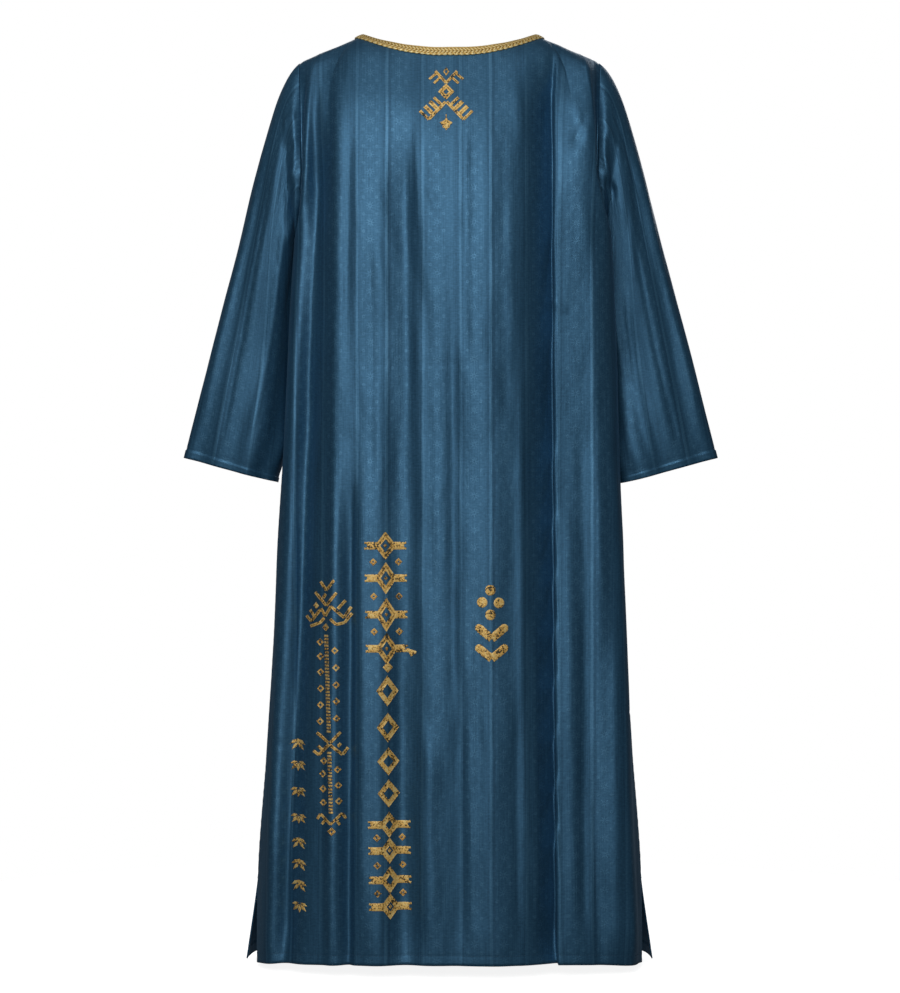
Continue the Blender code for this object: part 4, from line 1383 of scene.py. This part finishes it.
# Sprigs up the side: drop, and whether the leaves part round a lower leaf
leafSprigs = {
    "x": -215.0,
    "rows": ((1013, 0), (1042, 1), (1079, 1), (1116, 1), (1151, 0), (1181, 0), (1210, 0), (1239, 1)),
    "shift": 0.55,  # each sprig stands this much further right than the one above
    "thread": 5.0,
    "peaked": (
        (0.5, 8.5, -11.5, 1), (-0.5, 8.5, 11, 1), (1, 4.5, -9, -7), (-1, 4.5, 9, -6.5), (0, 9, 0, 1),
    ),
    "open": (
        (-1, 5.5, -11.5, 3), (1, 6, 11.5, 2.5), (-0.5, 4, -10, -6), (0.5, 4, 10, -5), (0, 3.5, 0, -8),
    ),
}


def makeLeafSprigs():
    motif = leafSprigs
    obj = startDesign("leafSprigs")
    for count, (drop, parted) in enumerate(motif["rows"]):
        leaves = motif["open"] if parted else motif["peaked"]
        makeStrokes(leaf, leaves, motif["x"] + count * motif["shift"], drop, motif["thread"])
    finishDesign(obj)


# Bud of four dots over two chevrons
budMotif = {
    "x": 58.0,
    "dots": ((-0.9, 792.0), (-12.3, 809.0), (11.2, 809.8), (-0.9, 826.4)),
    "dotRadius": 7.4,
    "chevronX": 59.0,
    "chevrons": (845.0, 873.0),
    "halfSpan": 17.6,
    "fall": 14.5,
    "wide": 11.4,
}


def makeBudMotif():
    motif = budMotif
    obj = startDesign("budMotif")
    for aside, drop in motif["dots"]:
        disc(motif["x"] + aside, drop, motif["dotRadius"])
    for drop in motif["chevrons"]:
        for hand in (-1, 1):
            end = (motif["chevronX"] + hand * motif["halfSpan"], drop)
            bar((motif["chevronX"], drop + motif["fall"]), end, motif["wide"], False)
            disc(end[0], end[1], motif["wide"] / 2)
    finishDesign(obj)


makeNeckMotif()
makeLozengeColumn()
makeTreeColumn()
makeLeafSprigs()
makeBudMotif()
print("the embroidery is worked")


# Topstitching

stitch = {
    "length": 2.9,
    "pitch": 4.0,
    "thick": 0.55,
    "lift": 0.15,
    "slitInset": 11.0,
    "armholeInset": 6.0,
}


def stitchTemplate():
    bpy.ops.object.select_all(action="DESELECT")
    bpy.ops.mesh.primitive_uv_sphere_add(segments=6, ring_count=5, radius=0.5)
    obj = bpy.context.active_object
    corners = np.array([v.co[:] for v in obj.data.vertices])[:, [2, 0, 1]]  # its long axis is along X
    faces = [tuple(p.vertices) for p in obj.data.polygons]
    bpy.data.objects.remove(obj, do_unlink=True)
    return corners * (stitch["length"], stitch["thick"], stitch["thick"]), faces


stitchCorners, stitchFaces = stitchTemplate()


def sewRows(name, rows):
    # one object of separate stitches along each (line, outward) row
    corners, faces = [], []
    for line, outward in rows:
        run = runOf(line)
        for at in np.arange(stitch["pitch"] / 2, run[-1] - stitch["length"] / 2, stitch["pitch"]):
            middle, ahead, normal = [
                np.array([np.interp(place, run, grid[:, k]) for k in range(3)])
                for place, grid in ((at, line), (at + 1.0, line), (at, outward))
            ]
            normal, along = unit(normal), unit(ahead - middle)
            side = unit(np.cross(normal, along))
            turned = stitchCorners @ np.stack([along, side, np.cross(along, side)])
            start = len(corners) * len(stitchCorners)
            corners.append(turned + middle + normal * stitch["lift"])
            faces += [tuple(start + i for i in face) for face in stitchFaces]
    data = bpy.data.meshes.new(name)
    data.from_pydata((np.concatenate(corners) * mm).tolist(), [], faces)
    data.materials.append(threadMaterial)
    data.shade_smooth()
    obj = bpy.data.objects.new(name, data)
    bpy.context.scene.collection.objects.link(obj)
    addPiece(obj, "blue_satin")
    return obj


def panelStitches(name, panel):
    points = panel["points"]
    outward = outwardOf(points, panel["facing"])
    hemRow = -(len(mesh["hemSteps"]) - mesh["hemSteps"].index(cut["hemTurn"]))
    rows = [(points[hemRow, 4:-4], outward[hemRow, 4:-4])]
    half = points.shape[1] // 2
    slitRow = np.flatnonzero(-points[:, half, 2] > cut["slitTopDrop"])[0]
    armholeRow = mesh["yokeRows"] + mesh["armholeRows"] - 3
    # down both slits, then down both armholes: the row where the inset is measured, the inset, the rows
    slits = (-1, stitch["slitInset"], slice(slitRow, hemRow))
    armholes = (mesh["yokeRows"], stitch["armholeInset"], slice(1, armholeRow))
    for at, inset, run in (slits, armholes):
        column = int(np.argmin(np.abs(panel["edge"][at, half:] - inset))) + half
        for k in (column, points.shape[1] - 1 - column):
            rows.append((points[run, k], outward[run, k]))
    return sewRows(name, rows)


def cuffStitches(name, side, form):
    mirror = (-1.0 if side == "left" else 1.0, 1.0, 1.0)
    row = 1 - len(sleeve["cuffRows"])
    return sewRows(name, [(form["points"][row] * mirror, form["outward"][row] * mirror)])


backStitches = panelStitches("backStitches", backPanel)
frontStitches = panelStitches("frontStitches", frontPanel)
leftCuffStitches = cuffStitches("leftCuffStitches", "left", leftSleeve)
rightCuffStitches = cuffStitches("rightCuffStitches", "right", rightSleeve)
print("hems are stitched")


# What each sheet was cut to

def triangleAreas(corner, one, other):
    return np.linalg.norm(np.cross(one - corner, other - corner), axis=2).sum() / 2


def declareSheet(obj, points):
    right, foot = points[:-1, 1:], points[1:, :-1]
    area = triangleAreas(points[:-1, :-1], foot, right) + triangleAreas(points[1:, 1:], foot, right)
    area = float(area) * mm * mm
    width, length = [float(runAlong(points, axis).max() + cloth["allowance"]) * mm for axis in (1, 0)]
    print(obj.name, "flat", round(width, 3), round(length, 3), "area", round(area, 3))


declareSheet(backCloth, backPanel["points"])
declareSheet(frontCloth, frontPanel["points"])
declareSheet(sleeveLeftCloth, leftSleeve["points"])
declareSheet(sleeveRightCloth, rightSleeve["points"])


# Camera, floor and light

stage = {
    "eye": (0.0007, -4.0, -0.661),
    "lens": 100.4,
    "floorBelow": 0.004,
    "floorRadius": 1.15,
}

camera = bpy.data.objects.new("photoView", bpy.data.cameras.new("photoView"))
bpy.context.scene.collection.objects.link(camera)
camera.location = stage["eye"]
camera.rotation_euler = (math.pi / 2, 0.0, 0.0)
camera.data.lens = stage["lens"]
camera.data.sensor_width = 36.0
camera.data.sensor_fit = "AUTO"
bpy.context.scene.camera = camera

bpy.ops.object.select_all(action="DESELECT")
below = (0.0, 0.0, cadBox[0][2] - stage["floorBelow"])
bpy.ops.mesh.primitive_circle_add(vertices=96, radius=stage["floorRadius"], fill_type="NGON", location=below)
floor = bpy.context.active_object
floor.name = "paleFloor"
floor.visible_diffuse = floor.visible_glossy = False
glow = {"Base Color": linear("#f4f4f3"), "Roughness": 0.9, "Emission Strength": 0.88}
floor.data.materials.append(newMaterial("whiteLightTable", {**glow, "Emission Color": linear("#ffffff")})[0])


def addSoftLight(name, place, target, size, power):
    light = bpy.data.lights.new(name, "AREA")
    light.shape = "RECTANGLE"
    light.size, light.size_y = size
    light.energy = power
    obj = bpy.data.objects.new(name, light)
    obj.location = place
    obj.rotation_euler = (Vector(target) - Vector(place)).to_track_quat("-Z", "Y").to_euler()
    bpy.context.scene.collection.objects.link(obj)


addSoftLight("keyLight", (-0.5, -3.7, 0.55), (0.0, 0.0, -0.45), (2.8, 1.5), 64.0)
addSoftLight("topLight", (-0.3, -1.2, 2.4), (0.0, 0.0, -0.1), (2.4, 2.2), 17.0)
addSoftLight("backLight", (0.4, 3.2, 0.8), (0.0, 0.0, -0.6), (2.4, 1.6), 30.0)

world = bpy.data.worlds.new("paleStudio")
bpy.context.scene.world = world
world.use_nodes = True
worldTree = world.node_tree
worldTree.nodes.clear()
seen = addNode(worldTree, "ShaderNodeLightPath").outputs["Is Camera Ray"]
soft = addNode(worldTree, "ShaderNodeBackground", {"Color": (0.86, 0.92, 1.0, 1.0), "Strength": 0.07})
white = addNode(worldTree, "ShaderNodeBackground", {"Color": (1.0, 1.0, 1.0, 1.0), "Strength": 1.0})
mixed = addNode(worldTree, "ShaderNodeMixShader", {0: seen, 1: soft.outputs[0], 2: white.outputs[0]})
addNode(worldTree, "ShaderNodeOutputWorld", {"Surface": mixed.outputs[0]})
bpy.context.scene.view_settings.view_transform = "Standard"
print("camera, floor and lights are set")
